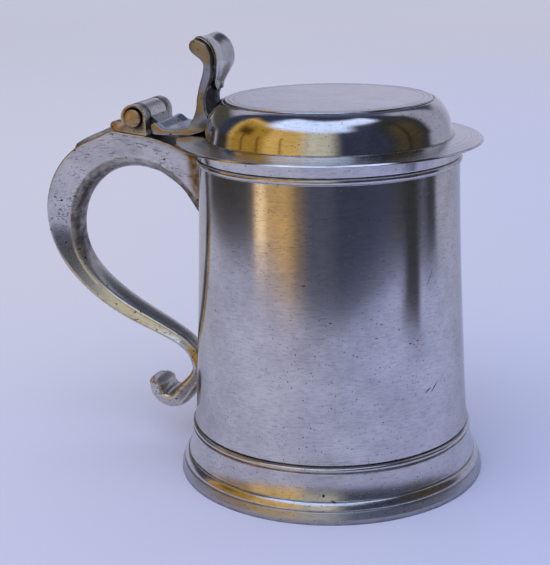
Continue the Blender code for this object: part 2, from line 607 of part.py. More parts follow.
def handle_rails():
    """Back and inner line of the handle, in zones of matching points.

    Each zone is (back points, inner points, width at its start, width at its end).
    """
    bow_top = SEAT_Z - BOW_DROP
    back_centre = (HANDLE_REACH - BACK_RADIUS, bow_top - BACK_RADIUS)
    inner_centre = (HANDLE_REACH - BOW_DEPTH - INNER_RADIUS, bow_top - ARCH_DEPTH - INNER_RADIUS)
    joint_top, joint_low = LIP_Z - JOINT_DROP, LIP_Z - JOINT_TAIL
    seat_start, seat_end = [(r, seat_z(r)) for r in (PIN_REACH - SEAT_BACK, PIN_REACH + TOE_REACH)]
    wall = drum_radius(CONTACT_Z)
    curl = (wall + CURL_OUT, CONTACT_Z - CURL_DROP)
    thin, wide = CURL_RADIUS - CURL_DEPTH / 2, CURL_RADIUS + CURL_DEPTH / 2

    back_joint = sweep_curve((drum_radius(joint_top) - JOINT_SINK, joint_top),
                             pull(JOINT_PULL, JOINT_RISE), pull(JOINT_PULL, SEAT_TILT), seat_start)
    inner_joint = sweep_curve((drum_radius(joint_low) - JOINT_SINK, joint_low),
                              pull(JOINT_PULL * 0.5, JOINT_STEEPNESS),
                              pull(JOINT_PULL * 0.5, INNER_BOW_START - 90),
                              polar(inner_centre, INNER_RADIUS, INNER_BOW_START))
    inner_joint += arc(inner_centre, INNER_RADIUS, INNER_BOW_START, INNER_SEAT_ANGLE, 6)[1:]
    joint = (even(back_joint, 7), even(inner_joint, 7), JOINT_WIDTH, HINGE_LENGTH)

    seat = (even([seat_start, seat_end], 4),
            arc(inner_centre, INNER_RADIUS, INNER_SEAT_ANGLE, INNER_TOE_ANGLE, 4),
            HINGE_LENGTH, HINGE_LENGTH)

    back_bow = [seat_end] + arc(back_centre, BACK_RADIUS, BACK_BOW_START, BACK_BOW_END, 30)
    inner_bow = arc(inner_centre, INNER_RADIUS, INNER_TOE_ANGLE, INNER_BOW_END, 30)
    bow = (even(back_bow, 15), even(inner_bow, 15), HINGE_LENGTH, BOW_WIDTH)

    back_foot, inner_foot = (wall + STRAP_DEPTH, CONTACT_Z), (wall - CONTACT_SINK, CONTACT_Z)
    back_run = sweep_curve(back_bow[-1], pull(BACK_RUN_PULL, BACK_BOW_END - 90),
                           pull(BACK_FOOT_PULL, STRAP_LEAN), back_foot, 24)
    inner_run = sweep_curve(inner_bow[-1], pull(INNER_RUN_PULL, INNER_BOW_END - 90),
                            pull(INNER_FOOT_PULL, STRAP_LEAN), inner_foot, 24)
    run = (even(back_run, 12), even(inner_run, 12), BOW_WIDTH, CONTACT_WIDTH)

    turn = CURL_START + 90
    back_bridge = sweep_curve(back_foot, pull(BRIDGE_PULL * 0.8, STRAP_LEAN),
                              pull(BRIDGE_PULL * 0.7, turn), polar(curl, thin, CURL_START))
    inner_bridge = sweep_curve(inner_foot, pull(BRIDGE_PULL * 1.2, STRAP_LEAN),
                               pull(BRIDGE_PULL * 0.9, turn), polar(curl, wide, CURL_START))
    bridge = (even(back_bridge, 5), even(inner_bridge, 5), CONTACT_WIDTH, CURL_WIDTH)
    hook = (arc(curl, thin, CURL_START, CURL_END, 10), arc(curl, wide, CURL_START, CURL_END, 10),
            CURL_WIDTH, CURL_WIDTH)

    cap = ([], [], CURL_WIDTH, CURL_WIDTH)
    for share in (0.0, 0.45, 0.8, 0.98):
        half = CURL_DEPTH / 2 * (1 - share ** 2) ** 0.5
        cap[0].append(polar(curl, CURL_RADIUS - half, CURL_END + CURL_CAP * share))
        cap[1].append(polar(curl, CURL_RADIUS + half, CURL_END + CURL_CAP * share))
    return [joint, seat, bow, run, bridge, hook, cap]


def handle_section(back, inner, width):
    """Section of the handle: flat back with eased edges, drawn-in sides and a round inner side."""
    half = width / 2
    depth = hypot(inner[0] - back[0], inner[1] - back[1])
    power = 2 / SECTION_POWER
    edge = min(EDGE_ROUND, depth * SIDE_SHARE / 2)
    points = [(-half, edge), (edge - half, 0.0), (0.0, -min(BACK_CROWN, edge)), (half - edge, 0.0),
              (half, edge)]
    side = depth * SIDE_SHARE
    for a in spread(0.0, pi, SECTION_STEPS + 1):
        across = half * INNER_SHARE * abs(cos(a)) ** power * (1 if cos(a) > 0 else -1)
        points.append((across, side + (depth - side) * sin(a) ** power))
    toward = Vector((inner[0] - back[0], inner[1] - back[1])) / depth
    return [(-back[0] - toward[0] * t, y, back[1] + toward[1] * t) for y, t in points]


def make_handle(material, parent):
    """Scroll handle, cut to the drum at both joints, with a tongue behind the hinge."""
    sections = []
    zones = handle_rails()
    for zone, (back, inner, start, end) in enumerate(zones):
        for i, (b, n) in enumerate(zip(back, inner)):
            if zone and not i:
                continue
            width = start + (end - start) * ease(i / (len(back) - 1))
            if zone == len(zones) - 1:
                depth = hypot(n[0] - b[0], n[1] - b[1])
                width *= 0.5 + 0.5 * depth / CURL_DEPTH
            sections.append(handle_section(b, n, width))
    handle = lofted("handle", sections, material, parent)

    tail = stretch(zones[2][0], TAIL_START, TAIL_START + TAIL_LENGTH, 7)
    stations = [(*point, 2 * TAIL_RISE, TAIL_WIDTH) for point in tail]
    combine(handle, lofted("handle_tongue", ribbon_sections(stations)[0], material, parent), "UNION")

    outside = widened(drum_outside()[::-1], SOLDER_GAP)
    room = [(0.0, outside[0][1])] + outside + [(0.0, outside[-1][1])]
    combine(handle, turned("drum_room", room, material, parent), "DIFFERENCE")
    return handle


def main():
    """Clear the scene and build the tankard."""
    for item in list(bpy.data.objects):
        bpy.data.objects.remove(item)

    turned_pewter = metal("turned_pewter", (0.42, 0.42, 0.45), 0.24)
    cast_pewter = metal("cast_pewter", (0.36, 0.36, 0.39), 0.38)
    floor_pewter = metal("floor_pewter", (0.30, 0.30, 0.31), 0.45)
    brass = metal("hinge_brass", (0.45, 0.32, 0.17), 0.4)

    axis = empty("drum_axis", (AXIS_X, 0.0, 0.0))
    hinge = empty("lid_hinge", (-PIN_REACH, 0.0, PIN_Z), axis)

    make_drum(turned_pewter, axis)
    make_base_moulding(turned_pewter, axis)
    make_bottom_disc(floor_pewter, axis)
    make_handle(cast_pewter, axis)
    make_lug("hinge_lug_near", -HINGE_LENGTH / 2, cast_pewter, axis)
    make_lug("hinge_lug_far", HINGE_LENGTH / 2 - LUG_WIDTH, cast_pewter, axis)
    make_pin(brass, axis)
    make_lid(turned_pewter, hinge)
    make_lid_bezel(floor_pewter, hinge)
    make_thumbpiece(cast_pewter, hinge)


main()
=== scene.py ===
"""Pewter tankard as it looks: smooth turned and cast pieces over the CAD frame, in a plain studio.

Sizes are in millimetres and angles in degrees, unless a name says otherwise. Pieces are drawn
from the foot of the drum's axis, with the handle towards -X and the hinge pin along Y.
"""

import logging
from dataclasses import dataclass, field
from enum import Enum
from math import atan, cos, degrees, exp, hypot, pi, radians, sin, tan
from typing import Callable, NamedTuple

import bmesh
import bpy
from bpy.types import Material, Mesh, NodeSocket, NodeTree, Object
from mathutils import Matrix, Vector


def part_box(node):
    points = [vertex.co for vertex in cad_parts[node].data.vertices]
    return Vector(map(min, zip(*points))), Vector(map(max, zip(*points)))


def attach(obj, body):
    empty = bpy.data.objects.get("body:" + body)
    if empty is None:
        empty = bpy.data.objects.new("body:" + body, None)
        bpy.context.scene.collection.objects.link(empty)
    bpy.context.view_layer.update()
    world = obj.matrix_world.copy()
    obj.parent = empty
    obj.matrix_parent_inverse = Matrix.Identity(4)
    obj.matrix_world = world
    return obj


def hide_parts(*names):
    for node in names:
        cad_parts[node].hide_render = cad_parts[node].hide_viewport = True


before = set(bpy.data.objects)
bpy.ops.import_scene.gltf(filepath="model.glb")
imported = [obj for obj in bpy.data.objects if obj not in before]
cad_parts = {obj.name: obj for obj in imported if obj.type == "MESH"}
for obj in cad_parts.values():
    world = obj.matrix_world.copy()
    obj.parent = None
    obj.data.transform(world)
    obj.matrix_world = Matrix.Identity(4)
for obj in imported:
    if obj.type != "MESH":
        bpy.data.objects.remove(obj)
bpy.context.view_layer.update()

MM = 0.001
PHOTO_WIDTH = 550           # pixels
HUB = 0.6                   # radius of the first points round the axis of a piece without a bore
SHARP = 50.0                # angle between faces from which their edge is eased
FLAT_WEIGHT = 80            # how far large faces stay flat beside eased edges; 50 is neutral
LOG = logging.getLogger("tankard")

Point = tuple[float, float]
Line = list[Point]
Row = list[tuple[float, float, float]]  # points in space, or points of a section with dirt and painted shade


class Body(Enum):
    """Bodies of the frame that pieces ride on."""

    VESSEL = "vessel"
    LID = "lid"


class Slot(Enum):
    """Finishes that the record names."""

    TURNED = "turned_pewter"
    CAST = "cast_pewter"
    FLOOR = "floor_pewter"
    BRASS = "hinge_brass"


class Mark(Enum):
    """Values painted on the points of a mesh for its finish to read."""

    # dirt: old polish in grooves, and painted shade in gaps, bores and hollows
    DIRT_AND_SHADE = "dirt_and_shade"
    STAIN = "stain"
    WEAR = "wear"


class Side(Enum):
    """Sides of the hinge, as signs along Y."""

    NEAR = -1
    FAR = 1


# Curves

def spread(first: float, last: float, count: int) -> list[float]:
    """Evenly spaced numbers, both ends included."""
    return [first + (last - first) * i / (count - 1) for i in range(count)]


def ease(share: float) -> float:
    """A share held between 0 and 1 that starts and ends gently."""
    share = min(1.0, max(0.0, share))
    return share * share * (3 - 2 * share)


def ramp(value: float, start: float, full: float) -> float:
    """A share that grows gently from 0 at one value to 1 at another, which may be the lower one."""
    return ease((value - start) / (full - start))


def polar(centre: Point, radius: float, angle: float) -> Point:
    """The point at an angle round a centre."""
    return (centre[0] + radius * cos(radians(angle)), centre[1] + radius * sin(radians(angle)))


def arc(centre: Point, radius: float, start: float, end: float, count: int) -> Line:
    """Points on an arc between two angles."""
    return [polar(centre, radius, angle) for angle in spread(start, end, count)]


def circle(centre: Point, radius: float, count: int = 48) -> Line:
    """Points of a whole circle."""
    return arc(centre, radius, 360.0, 0.0, count + 1)[:-1]


def oval(power: float, start: float, end: float, count: int) -> Line:
    """Points between two angles of a unit curve: a power of 1 is a bevel, 2 a circle, more a square."""
    turns = [radians(angle) for angle in spread(start, end, count)]
    return [(abs(cos(a)) ** (2 / power) * (1 if cos(a) > 0 else -1), sin(a) ** (2 / power)) for a in turns]


def swoop(start: Point, leaving: Point, arriving: Point, end: Point, count: int = 24) -> Line:
    """Points on a cubic curve.

    Args:
        start: First point.
        leaving: How far the curve keeps its first direction, and the angle of that.
        arriving: The same for its last direction.
        end: Last point.
        count: How many points to make.

    Returns:
        The points, both ends included.
    """
    first, last = Vector(start), Vector(end)
    ahead = first + Vector(polar((0.0, 0.0), *leaving))
    behind = last - Vector(polar((0.0, 0.0), *arriving))
    return [tuple(first * (1 - t) ** 3 + ahead * 3 * t * (1 - t) ** 2 + behind * 3 * t * t * (1 - t)
                  + last * t ** 3) for t in spread(0.0, 1.0, count)]


def even(points: Line, count: int) -> Line:
    """Points at equal steps along a line, both ends included.

    Args:
        points: Points of the line.
        count: How many points to make.

    Returns:
        The new points.
    """
    gone = [0.0]
    for (x, z), (next_x, next_z) in zip(points, points[1:]):
        gone.append(gone[-1] + hypot(next_x - x, next_z - z))
    out = []
    for target in spread(0.0, gone[-1], count):
        i = max(k for k in range(len(points) - 1) if k == 0 or gone[k] <= target)
        t = (target - gone[i]) / (gone[i + 1] - gone[i])
        out.append(tuple(a + (b - a) * t for a, b in zip(points[i], points[i + 1])))
    return out


def half_round(radius: float, z: float, height: float, proud: float, count: int) -> Line:
    """A bead on a turned wall, listed upwards."""
    return [(radius + proud * sin(a), z + height * (1 - cos(a)) / 2) for a in spread(0.0, pi, count)]


def through(stations: tuple, count: int) -> list[tuple[float, ...]]:
    """Stations on a smooth curve through the given ones.

    Args:
        stations: Tuples of numbers of one length.
        count: How many stations to make, at even steps between the given ones.

    Returns:
        The new stations, both ends included.
    """
    last = len(stations) - 1
    out = []
    for place in spread(0.0, last, count):
        i = min(int(place), last - 1)
        t = place - i
        near = [stations[max(0, min(last, i + k))] for k in (-1, 0, 1, 2)]
        out.append(tuple(
            b + 0.5 * t * (c - a + t * (2 * a - 5 * b + 4 * c - d + t * (3 * (b - c) + d - a)))
            for a, b, c, d in zip(*near)))
    return out


def mirrored(points: list[tuple]) -> list[tuple]:
    """Points of half a ring on the other side, in the order that carries the ring on."""
    return [(-across, *rest) for across, *rest in points[::-1]]


@dataclass
class Profile:
    """Section of a turned piece, drawn as points of (radius, height, rounding, dirt and painted shade)."""

    fade: float = 0.5           # how far dirt and painted shade creep out of a groove
    support: float = 0.3        # distance of the points that keep a flat flat
    longest: float = 4.0        # step between points of a straight stretch
    corner_points: int = 6
    corner_share: float = 0.45  # of a side, the most that a rounded corner takes up
    spots: list[tuple[float, float, float, float]] = field(default_factory=list)

    def to(self, r: float, z: float, rounding: float = 0.0, dirt_and_shade: float = 0.0) -> "Profile":
        """Go straight to a point whose corner may be rounded."""
        self.spots.append((r, z, rounding, dirt_and_shade))
        return self

    def along(self, points: Line) -> "Profile":
        """Follow points of a curve."""
        self.spots += [(r, z, 0.0, 0.0) for r, z in points]
        return self

    def groove(self, r: float, z: float, half: float, depth: float, dirt_and_shade: float,
               fall: float = 0.0) -> "Profile":
        """Cross a shallow groove turned in a flat.

        Args:
            r: Radius of its middle.
            z: Height of the flat there.
            half: Half of its width, below 0 where the section runs inward.
            depth: Its depth, below 0 on an underside.
            dirt_and_shade: Share of dirt and painted shade in it.
            fall: How far the flat falls over half of the width.

        Returns:
            The profile itself.
        """
        self.to(r - half, z + fall).to(r, z - depth, dirt_and_shade=dirt_and_shade)
        return self.to(r + half, z - fall)

    def rounded(self) -> Row:
        """Round the corners.

        Returns:
            Points of (radius, height, dirt and painted shade).
        """
        out = []
        count = len(self.spots)
        for i, (r, z, rounding, dirt_and_shade) in enumerate(self.spots):
            if not rounding:
                out.append((r, z, dirt_and_shade))
                continue
            here = Vector((r, z))
            arms = []
            for other in (self.spots[i - 1], self.spots[(i + 1) % count]):
                arm = Vector(other[:2]) - here
                arms.append(here + arm * min(self.corner_share, rounding / max(arm.length, 1e-6)))
            for t in spread(0.0, 1.0, self.corner_points):
                point = arms[0] * (1 - t) ** 2 + here * 2 * t * (1 - t) + arms[1] * t * t
                out.append((point.x, point.y, dirt_and_shade))
        return out

    def points(self, joined: bool) -> Row:
        """All points of the section.

        Args:
            joined: True where the section is a closed loop.

        Returns:
            Points of (radius, height, dirt and painted shade), with more of them along straight stretches.
        """
        corners = self.rounded()
        pairs = list(zip(corners, corners[1:] + corners[:1]))
        out = []
        for a, b in pairs if joined else pairs[:-1]:
            out.append(a)
            length = hypot(b[0] - a[0], b[1] - a[1])
            if length < 3 * self.support:
                continue
            steps = max(2, round((length - 2 * self.support) / self.longest) + 1)
            for s in spread(self.support, length - self.support, steps):
                t = s / length
                dirt_and_shade = max(a[2] * exp(-s / self.fade), b[2] * exp((s - length) / self.fade))
                out.append((a[0] + (b[0] - a[0]) * t, a[1] + (b[1] - a[1]) * t, dirt_and_shade))
        return out if joined else out + [corners[-1]]


# Meshes

def paint(mesh: Mesh, marks: dict[Mark, list[float]]) -> None:
    """Store marks on the points of a mesh, with 0 on the points that close its ends.

    Args:
        mesh: Mesh to mark.
        marks: Values of each mark, in the order of the mesh's points.
    """
    for mark, values in marks.items():
        ends = [0.0] * (len(mesh.vertices) - len(values))
        mesh.attributes.new(mark.value, "FLOAT", "POINT").data.foreach_set("value", values + ends)


def closed(mesh: Mesh) -> Mesh:
    """Turn all faces of a closed mesh outward and shade it smooth.

    Args:
        mesh: The mesh.

    Returns:
        The same mesh.
    """
    bm = bmesh.new()
    bm.from_mesh(mesh)
    bmesh.ops.recalc_face_normals(bm, faces=bm.faces)
    bm.to_mesh(mesh)
    bm.free()
    mesh.shade_smooth()
    return mesh


def skin(name: str, rings: list[Row], joined: bool) -> Mesh:
    """Mesh over a row of closed rings.

    Args:
        name: Name of the mesh.
        rings: Points of each ring, all with the same count.
        joined: True where the last ring meets the first, and False where both ends are closed.

    Returns:
        The mesh, with its points in the order of the rings and then a point for each closed end.
    """
    rows, count = len(rings), len(rings[0])
    points = [Vector(p) * MM for ring in rings for p in ring]
    faces = []
    for i in range(rows if joined else rows - 1):
        a, b = i * count, (i + 1) % rows * count
        for k in range(count):
            n = (k + 1) % count
            faces.append((a + k, a + n, b + n, b + k))
    if not joined:
        for start in (0, (rows - 1) * count):
            hub = len(points)
            points.append(sum(points[start:start + count], Vector()) / count)
            faces += [(start + k, start + (k + 1) % count, hub) for k in range(count)]
    mesh = bpy.data.meshes.new(name)
    mesh.from_pydata(points, [], faces)
    return closed(mesh)


def turned(name: str, profile: Profile, joined: bool, wear: Callable[[float, float], float] | None = None,
           steps: int = 240) -> Mesh:
    """Mesh of a turned piece.

    Args:
        name: Name of the mesh.
        profile: Its section.
        joined: True for a ring, and False for a piece that starts and ends on the axis.
        wear: Share of wear at a radius and height, if any.
        steps: Points round the axis.

    Returns:
        The mesh, painted with the dirt and painted shade of its section, and its wear.
    """
    spots = profile.points(joined)
    turns = spread(0.0, 2 * pi, steps + 1)[:-1]
    rings = [[(r * cos(a), r * sin(a), z) for a in turns] for r, z, _ in spots]
    mesh = skin(name, rings, joined)
    paint(mesh, {Mark.DIRT_AND_SHADE: [dirt_and_shade for _, _, dirt_and_shade in spots for _ in turns]})
    if wear:
        paint(mesh, {Mark.WEAR: [wear(r, z) for r, z, _ in spots for _ in turns]})
    return mesh


def plate(name: str, outline: Line, hole: Line, y: Point, edge: float) -> Mesh:
    """Mesh of a plate with a hole and eased edges, which stands across the hinge axis.

    Args:
        name: Name of the mesh.
        outline: Points of (distance from the drum's axis, height).
        hole: Points of the hole, likewise.
        y: Where the plate starts and ends along the hinge axis.
        edge: Rounding of its edges.

    Returns:
        The mesh.
    """
    bm = bmesh.new()
    edges = []
    for loop in (outline, hole):
        verts = [bm.verts.new((-reach * MM, y[0] * MM, z * MM)) for reach, z in loop]
        edges += [bm.edges.new((a, b)) for a, b in zip(verts, verts[1:] + verts[:1])]
    bmesh.ops.triangle_fill(bm, edges=edges, use_beauty=True)
    side = bmesh.ops.extrude_face_region(bm, geom=bm.faces[:])
    moved = [item for item in side["geom"] if isinstance(item, bmesh.types.BMVert)]
    bmesh.ops.translate(bm, verts=moved, vec=(0.0, (y[1] - y[0]) * MM, 0.0))
    bmesh.ops.recalc_face_normals(bm, faces=bm.faces)
    sharp = [e for e in bm.edges if e.calc_face_angle(0.0) > radians(SHARP)]
    bmesh.ops.bevel(bm, geom=sharp, offset=edge * MM, segments=3, profile=0.5, affect="EDGES",
                    clamp_overlap=True)
    mesh = bpy.data.meshes.new(name)
    bm.to_mesh(mesh)
    bm.free()
    return closed(mesh)


def drum_foot() -> Vector:
    """Foot of the drum's axis in the frame, in metres."""
    low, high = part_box("drum")
    return Vector(((low.x + high.x) / 2, 0.0, 0.0))


def stand(name: str, data: bpy.types.ID) -> Object:
    """Put a new object in the scene.

    Args:
        name: Its name.
        data: Its mesh, camera or light.

    Returns:
        The object.
    """
    thing = bpy.data.objects.new(name, data)
    bpy.context.scene.collection.objects.link(thing)
    return thing


def add_piece(mesh: Mesh, material: Material, body: Body, node: str = "",
              flat: bool = False) -> None:
    """Put a finished piece on its body.

    Args:
        mesh: Mesh drawn from the drum's axis.
        material: Finish of the piece.
        body: Body that it rides on.
        node: CAD node that it replaces, if any.
        flat: True where its large faces stay flat beside eased edges.
    """
    piece = stand(mesh.name, mesh)
    piece.location = drum_foot()
    mesh.materials.append(material)
    if node:
        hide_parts(node)
    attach(piece, body.value)
    if flat:
        piece.modifiers.new("flat faces", "WEIGHTED_NORMAL").weight = FLAT_WEIGHT
    LOG.info("%s: %d points, on %s", piece.name, len(mesh.vertices), body.value)


# Finishes

def linear(code: str) -> tuple[float, float, float, float]:
    """Linear colour of an sRGB hex value."""
    parts = [int(code[i:i + 2], 16) / 255 for i in (1, 3, 5)]
    return (*[c / 12.92 if c <= 0.04045 else ((c + 0.055) / 1.055) ** 2.4 for c in parts], 1.0)


def add(tree: NodeTree, kind: str, inputs: dict | None = None, **settings: object) -> NodeSocket:
    """Add a node with its settings and links.

    Args:
        tree: Node tree that gets the node.
        kind: Blender's name for the kind of node, without its first word.
        inputs: Inputs by name or number, each with a value or with the output to link.
        settings: The node's own settings.

    Returns:
        The first output of the node that is in use.
    """
    node = tree.nodes.new("ShaderNode" + kind)
    for name, value in settings.items():
        setattr(node, name, value)
    for key, value in (inputs or {}).items():
        if isinstance(value, NodeSocket):
            tree.links.new(value, node.inputs[key])
        else:
            node.inputs[key].default_value = value
    return next((output for output in node.outputs if output.enabled), None)


def blank(owner: Material | bpy.types.World) -> NodeTree:
    """Empty the node tree of a new material or world.

    Args:
        owner: The material or world.

    Returns:
        The tree.
    """
    owner.use_nodes = True
    owner.node_tree.nodes.clear()
    return owner.node_tree


def step(tree: NodeTree, value: NodeSocket, low: float | NodeSocket,
         high: float | NodeSocket) -> NodeSocket:
    """A smooth step from 0 at one value to 1 at another."""
    return add(tree, "MapRange", {"Value": value, "From Min": low, "From Max": high},
               interpolation_type="SMOOTHSTEP")


def patches(tree: NodeTree, place: NodeSocket, size: float, band: Point, detail: float = 2.0,
            fine: float = 0.5, least: float = 0.0) -> NodeSocket:
    """Patches of uneven size and outline.

    Args:
        tree: Node tree that gets them.
        place: Where on the piece, in metres.
        size: Mean size of a patch.
        band: Values of the noise at which a patch starts and is full.
        detail: How many finer layers the noise has.
        fine: Strength of each finer layer.
        least: Share left between patches.

    Returns:
        A share that is 1 inside a patch.
    """
    noise = add(tree, "TexNoise", {"Vector": place, "Scale": 1 / (size * MM), "Detail": detail,
                                   "Roughness": fine})
    return add(tree, "MapRange", {"Value": noise, "From Min": band[0], "From Max": band[1],
                                  "To Min": least})


@dataclass(frozen=True)
class Nick:
    """A scratch or dent in a turned wall, by its turn about the axis from -Y and its height."""

    turn: float
    z: float
    radius: float               # of the wall there
    length: float
    width: float
    tilt: float = 0.0


@dataclass(frozen=True)
class Pewter:
    """Pewter, a soft grey tin alloy: a broad cool gleam under a thin oxide, with pits, dirt and painted
    shade.
    """

    name: str
    metal: str = "#D6D2CD"      # polished by handling
    dull: str = "#BDBAB7"       # under more oxide
    worn: str = "#C6C3C0"       # where it rubs
    pit: str = "#35332F"
    dirt_and_shade: str = "#2A2118"       # old polish in the grooves, and painted shade in gaps, bores and hollows
    stain: str = "#93703C"
    roughness: float = 0.12
    dull_roughness: float = 0.03    # added under more oxide
    wear_roughness: float = 0.08    # added where it rubs
    pit_roughness: float = 0.25     # and likewise
    dirt_and_shade_roughness: float = 0.35
    stain_roughness: float = 0.1
    dull_size: float = 22.0
    dull_band: Point = (0.38, 0.68)     # noise at which the oxide starts and is full
    stain_size: float = 4.0
    stain_band: Point = (0.35, 0.6)
    stain_least: float = 0.55   # share of dirt, painted shade and stain left between their patches
    pit_spacing: float = 1.5
    pit_radius: float = 0.37    # of the largest
    pit_power: float = 1.8      # most pits are much smaller
    pit_floor: float = 0.4      # share of a pit's radius that is full depth
    pit_depth: float = 0.012
    pit_share: float = 0.65     # how much of the surface has pits
    crowd_scale: float = 3.0    # areas with pits are this much larger than patches of oxide
    crowd_band: Point = (0.62, 0.72)    # noise at which pits start to show, for a share of 0
    crowd_span: float = 0.4     # how far a share of 1 lowers it
    speck_spacing: float = 1.2
    speck_radius: float = 0.36
    speck_strength: float = 0.65
    stroke_strength: float = 0.28
    wave_size: float = 26.0     # slow unevenness left by hammer and hand
    wave_depth: float = 0.004
    grazing: float = 1.0        # tint of the gleam at a low angle, which oxide dulls
    anisotropy: float = 0.0
    anisotropy_turn: float = 0.25   # a quarter turn, across the tool marks

    def material(self) -> Material:
        """Build the finish.

        Returns:
            The material.
        """
        material = bpy.data.materials.new(self.name)
        tree = blank(material)
        place = add(tree, "TexCoord").node.outputs["Object"]
        # the dirt mark holds real dirt and painted shade
        dirt_and_shade, stain, wear = (add(tree, "Attribute", attribute_name=mark.value).node.outputs["Fac"]
                             for mark in Mark)
        left = patches(tree, place, self.stain_size, self.stain_band, detail=3.0, least=self.stain_least)
        dirt_and_shade, stain = (add(tree, "Math", {0: mark, 1: left}, operation="MULTIPLY")
                       for mark in (dirt_and_shade, stain))
        oxide = patches(tree, place, self.dull_size, self.dull_band, detail=6.0, fine=0.75)
        pits = self.pits(tree, place, self.pit_spacing, self.pit_radius)
        pits = add(tree, "Math", {0: pits, 1: self.crowding(tree, place)}, operation="MULTIPLY")
        specks = self.pits(tree, place, self.speck_spacing, self.speck_radius)
        height, strokes = self.tool_marks(tree, place)

        colour = add(tree, "Mix", {0: oxide, 6: linear(self.metal), 7: linear(self.dull)},
                     data_type="RGBA")
        for share, strength, code in ((wear, 1.0, self.worn), (stain, 1.0, self.stain),
                                      (specks, self.speck_strength, self.pit),
                                      (strokes, self.stroke_strength, self.pit), (pits, 1.0, self.pit),
                                      (dirt_and_shade, 1.0, self.dirt_and_shade)):
            share = add(tree, "Math", {0: share, 1: strength}, operation="MULTIPLY")
            colour = add(tree, "Mix", {0: share, 6: colour, 7: linear(code)}, data_type="RGBA")
        rough = self.roughness
        for share, amount in ((oxide, self.dull_roughness), (pits, self.pit_roughness),
                              (dirt_and_shade, self.dirt_and_shade_roughness), (stain, self.stain_roughness),
                              (wear, self.wear_roughness)):
            rough = add(tree, "Math", {0: share, 1: amount, 2: rough}, operation="MULTIPLY_ADD")
        waves = add(tree, "TexNoise", {"Vector": place, "Scale": 1 / (self.wave_size * MM), "Detail": 1.0})
        for share, rise in ((waves, self.wave_depth), (pits, -self.pit_depth)):
            height = add(tree, "Math", {0: share, 1: rise * MM, 2: height}, operation="MULTIPLY_ADD")
        normal = add(tree, "Bump", {"Height": height, "Distance": 1.0})

        shader = add(tree, "BsdfPrincipled", {
            "Base Color": colour, "Roughness": rough, "Normal": normal, "Metallic": 1.0,
            "Specular Tint": (self.grazing, self.grazing, self.grazing, 1.0),
            "Anisotropic": self.anisotropy, "Anisotropic Rotation": self.anisotropy_turn})
        if self.anisotropy:
            tangent = add(tree, "Tangent", direction_type="RADIAL", axis="Z")
            tree.links.new(tangent, shader.node.inputs["Tangent"])
        add(tree, "OutputMaterial", {"Surface": shader})
        return material

    def pits(self, tree: NodeTree, place: NodeSocket, spacing: float, radius: float) -> NodeSocket:
        """Small pits of corrosion, each of its own size.

        Args:
            tree: Node tree of the finish.
            place: Where on the piece, in metres.
            spacing: Mean distance between pits.
            radius: Radius of the largest.

        Returns:
            A share from 0, sound metal, to 1, the bottom of a pit.
        """
        cells = add(tree, "TexVoronoi", {"Vector": place, "Scale": 1 / (spacing * MM)})
        chance = add(tree, "SeparateColor", {0: cells.node.outputs["Color"]})
        size = add(tree, "Math", {0: chance, 1: self.pit_power}, operation="POWER")
        size = add(tree, "Math", {0: size, 1: radius / spacing}, operation="MULTIPLY")
        bottom = add(tree, "Math", {0: size, 1: self.pit_floor}, operation="MULTIPLY")
        return step(tree, cells, size, bottom)

    def crowding(self, tree: NodeTree, place: NodeSocket) -> NodeSocket:
        """Share of the pits that shows, which changes from place to place."""
        start, full = (limit - self.pit_share * self.crowd_span for limit in self.crowd_band)
        return patches(tree, place, self.crowd_scale * self.dull_size, (start, full))

    def tool_marks(self, tree: NodeTree, place: NodeSocket) -> tuple[NodeSocket, NodeSocket]:
        """Marks of the maker's tools on the surface: none here, a flat height and no marks.

        Args:
            tree: Node tree of the finish.
            place: Where on the piece, in metres; not used here.

        Returns:
            The height of the marks in metres, and how far they hold dirt.
        """
        flat = add(tree, "Value")
        return flat, flat


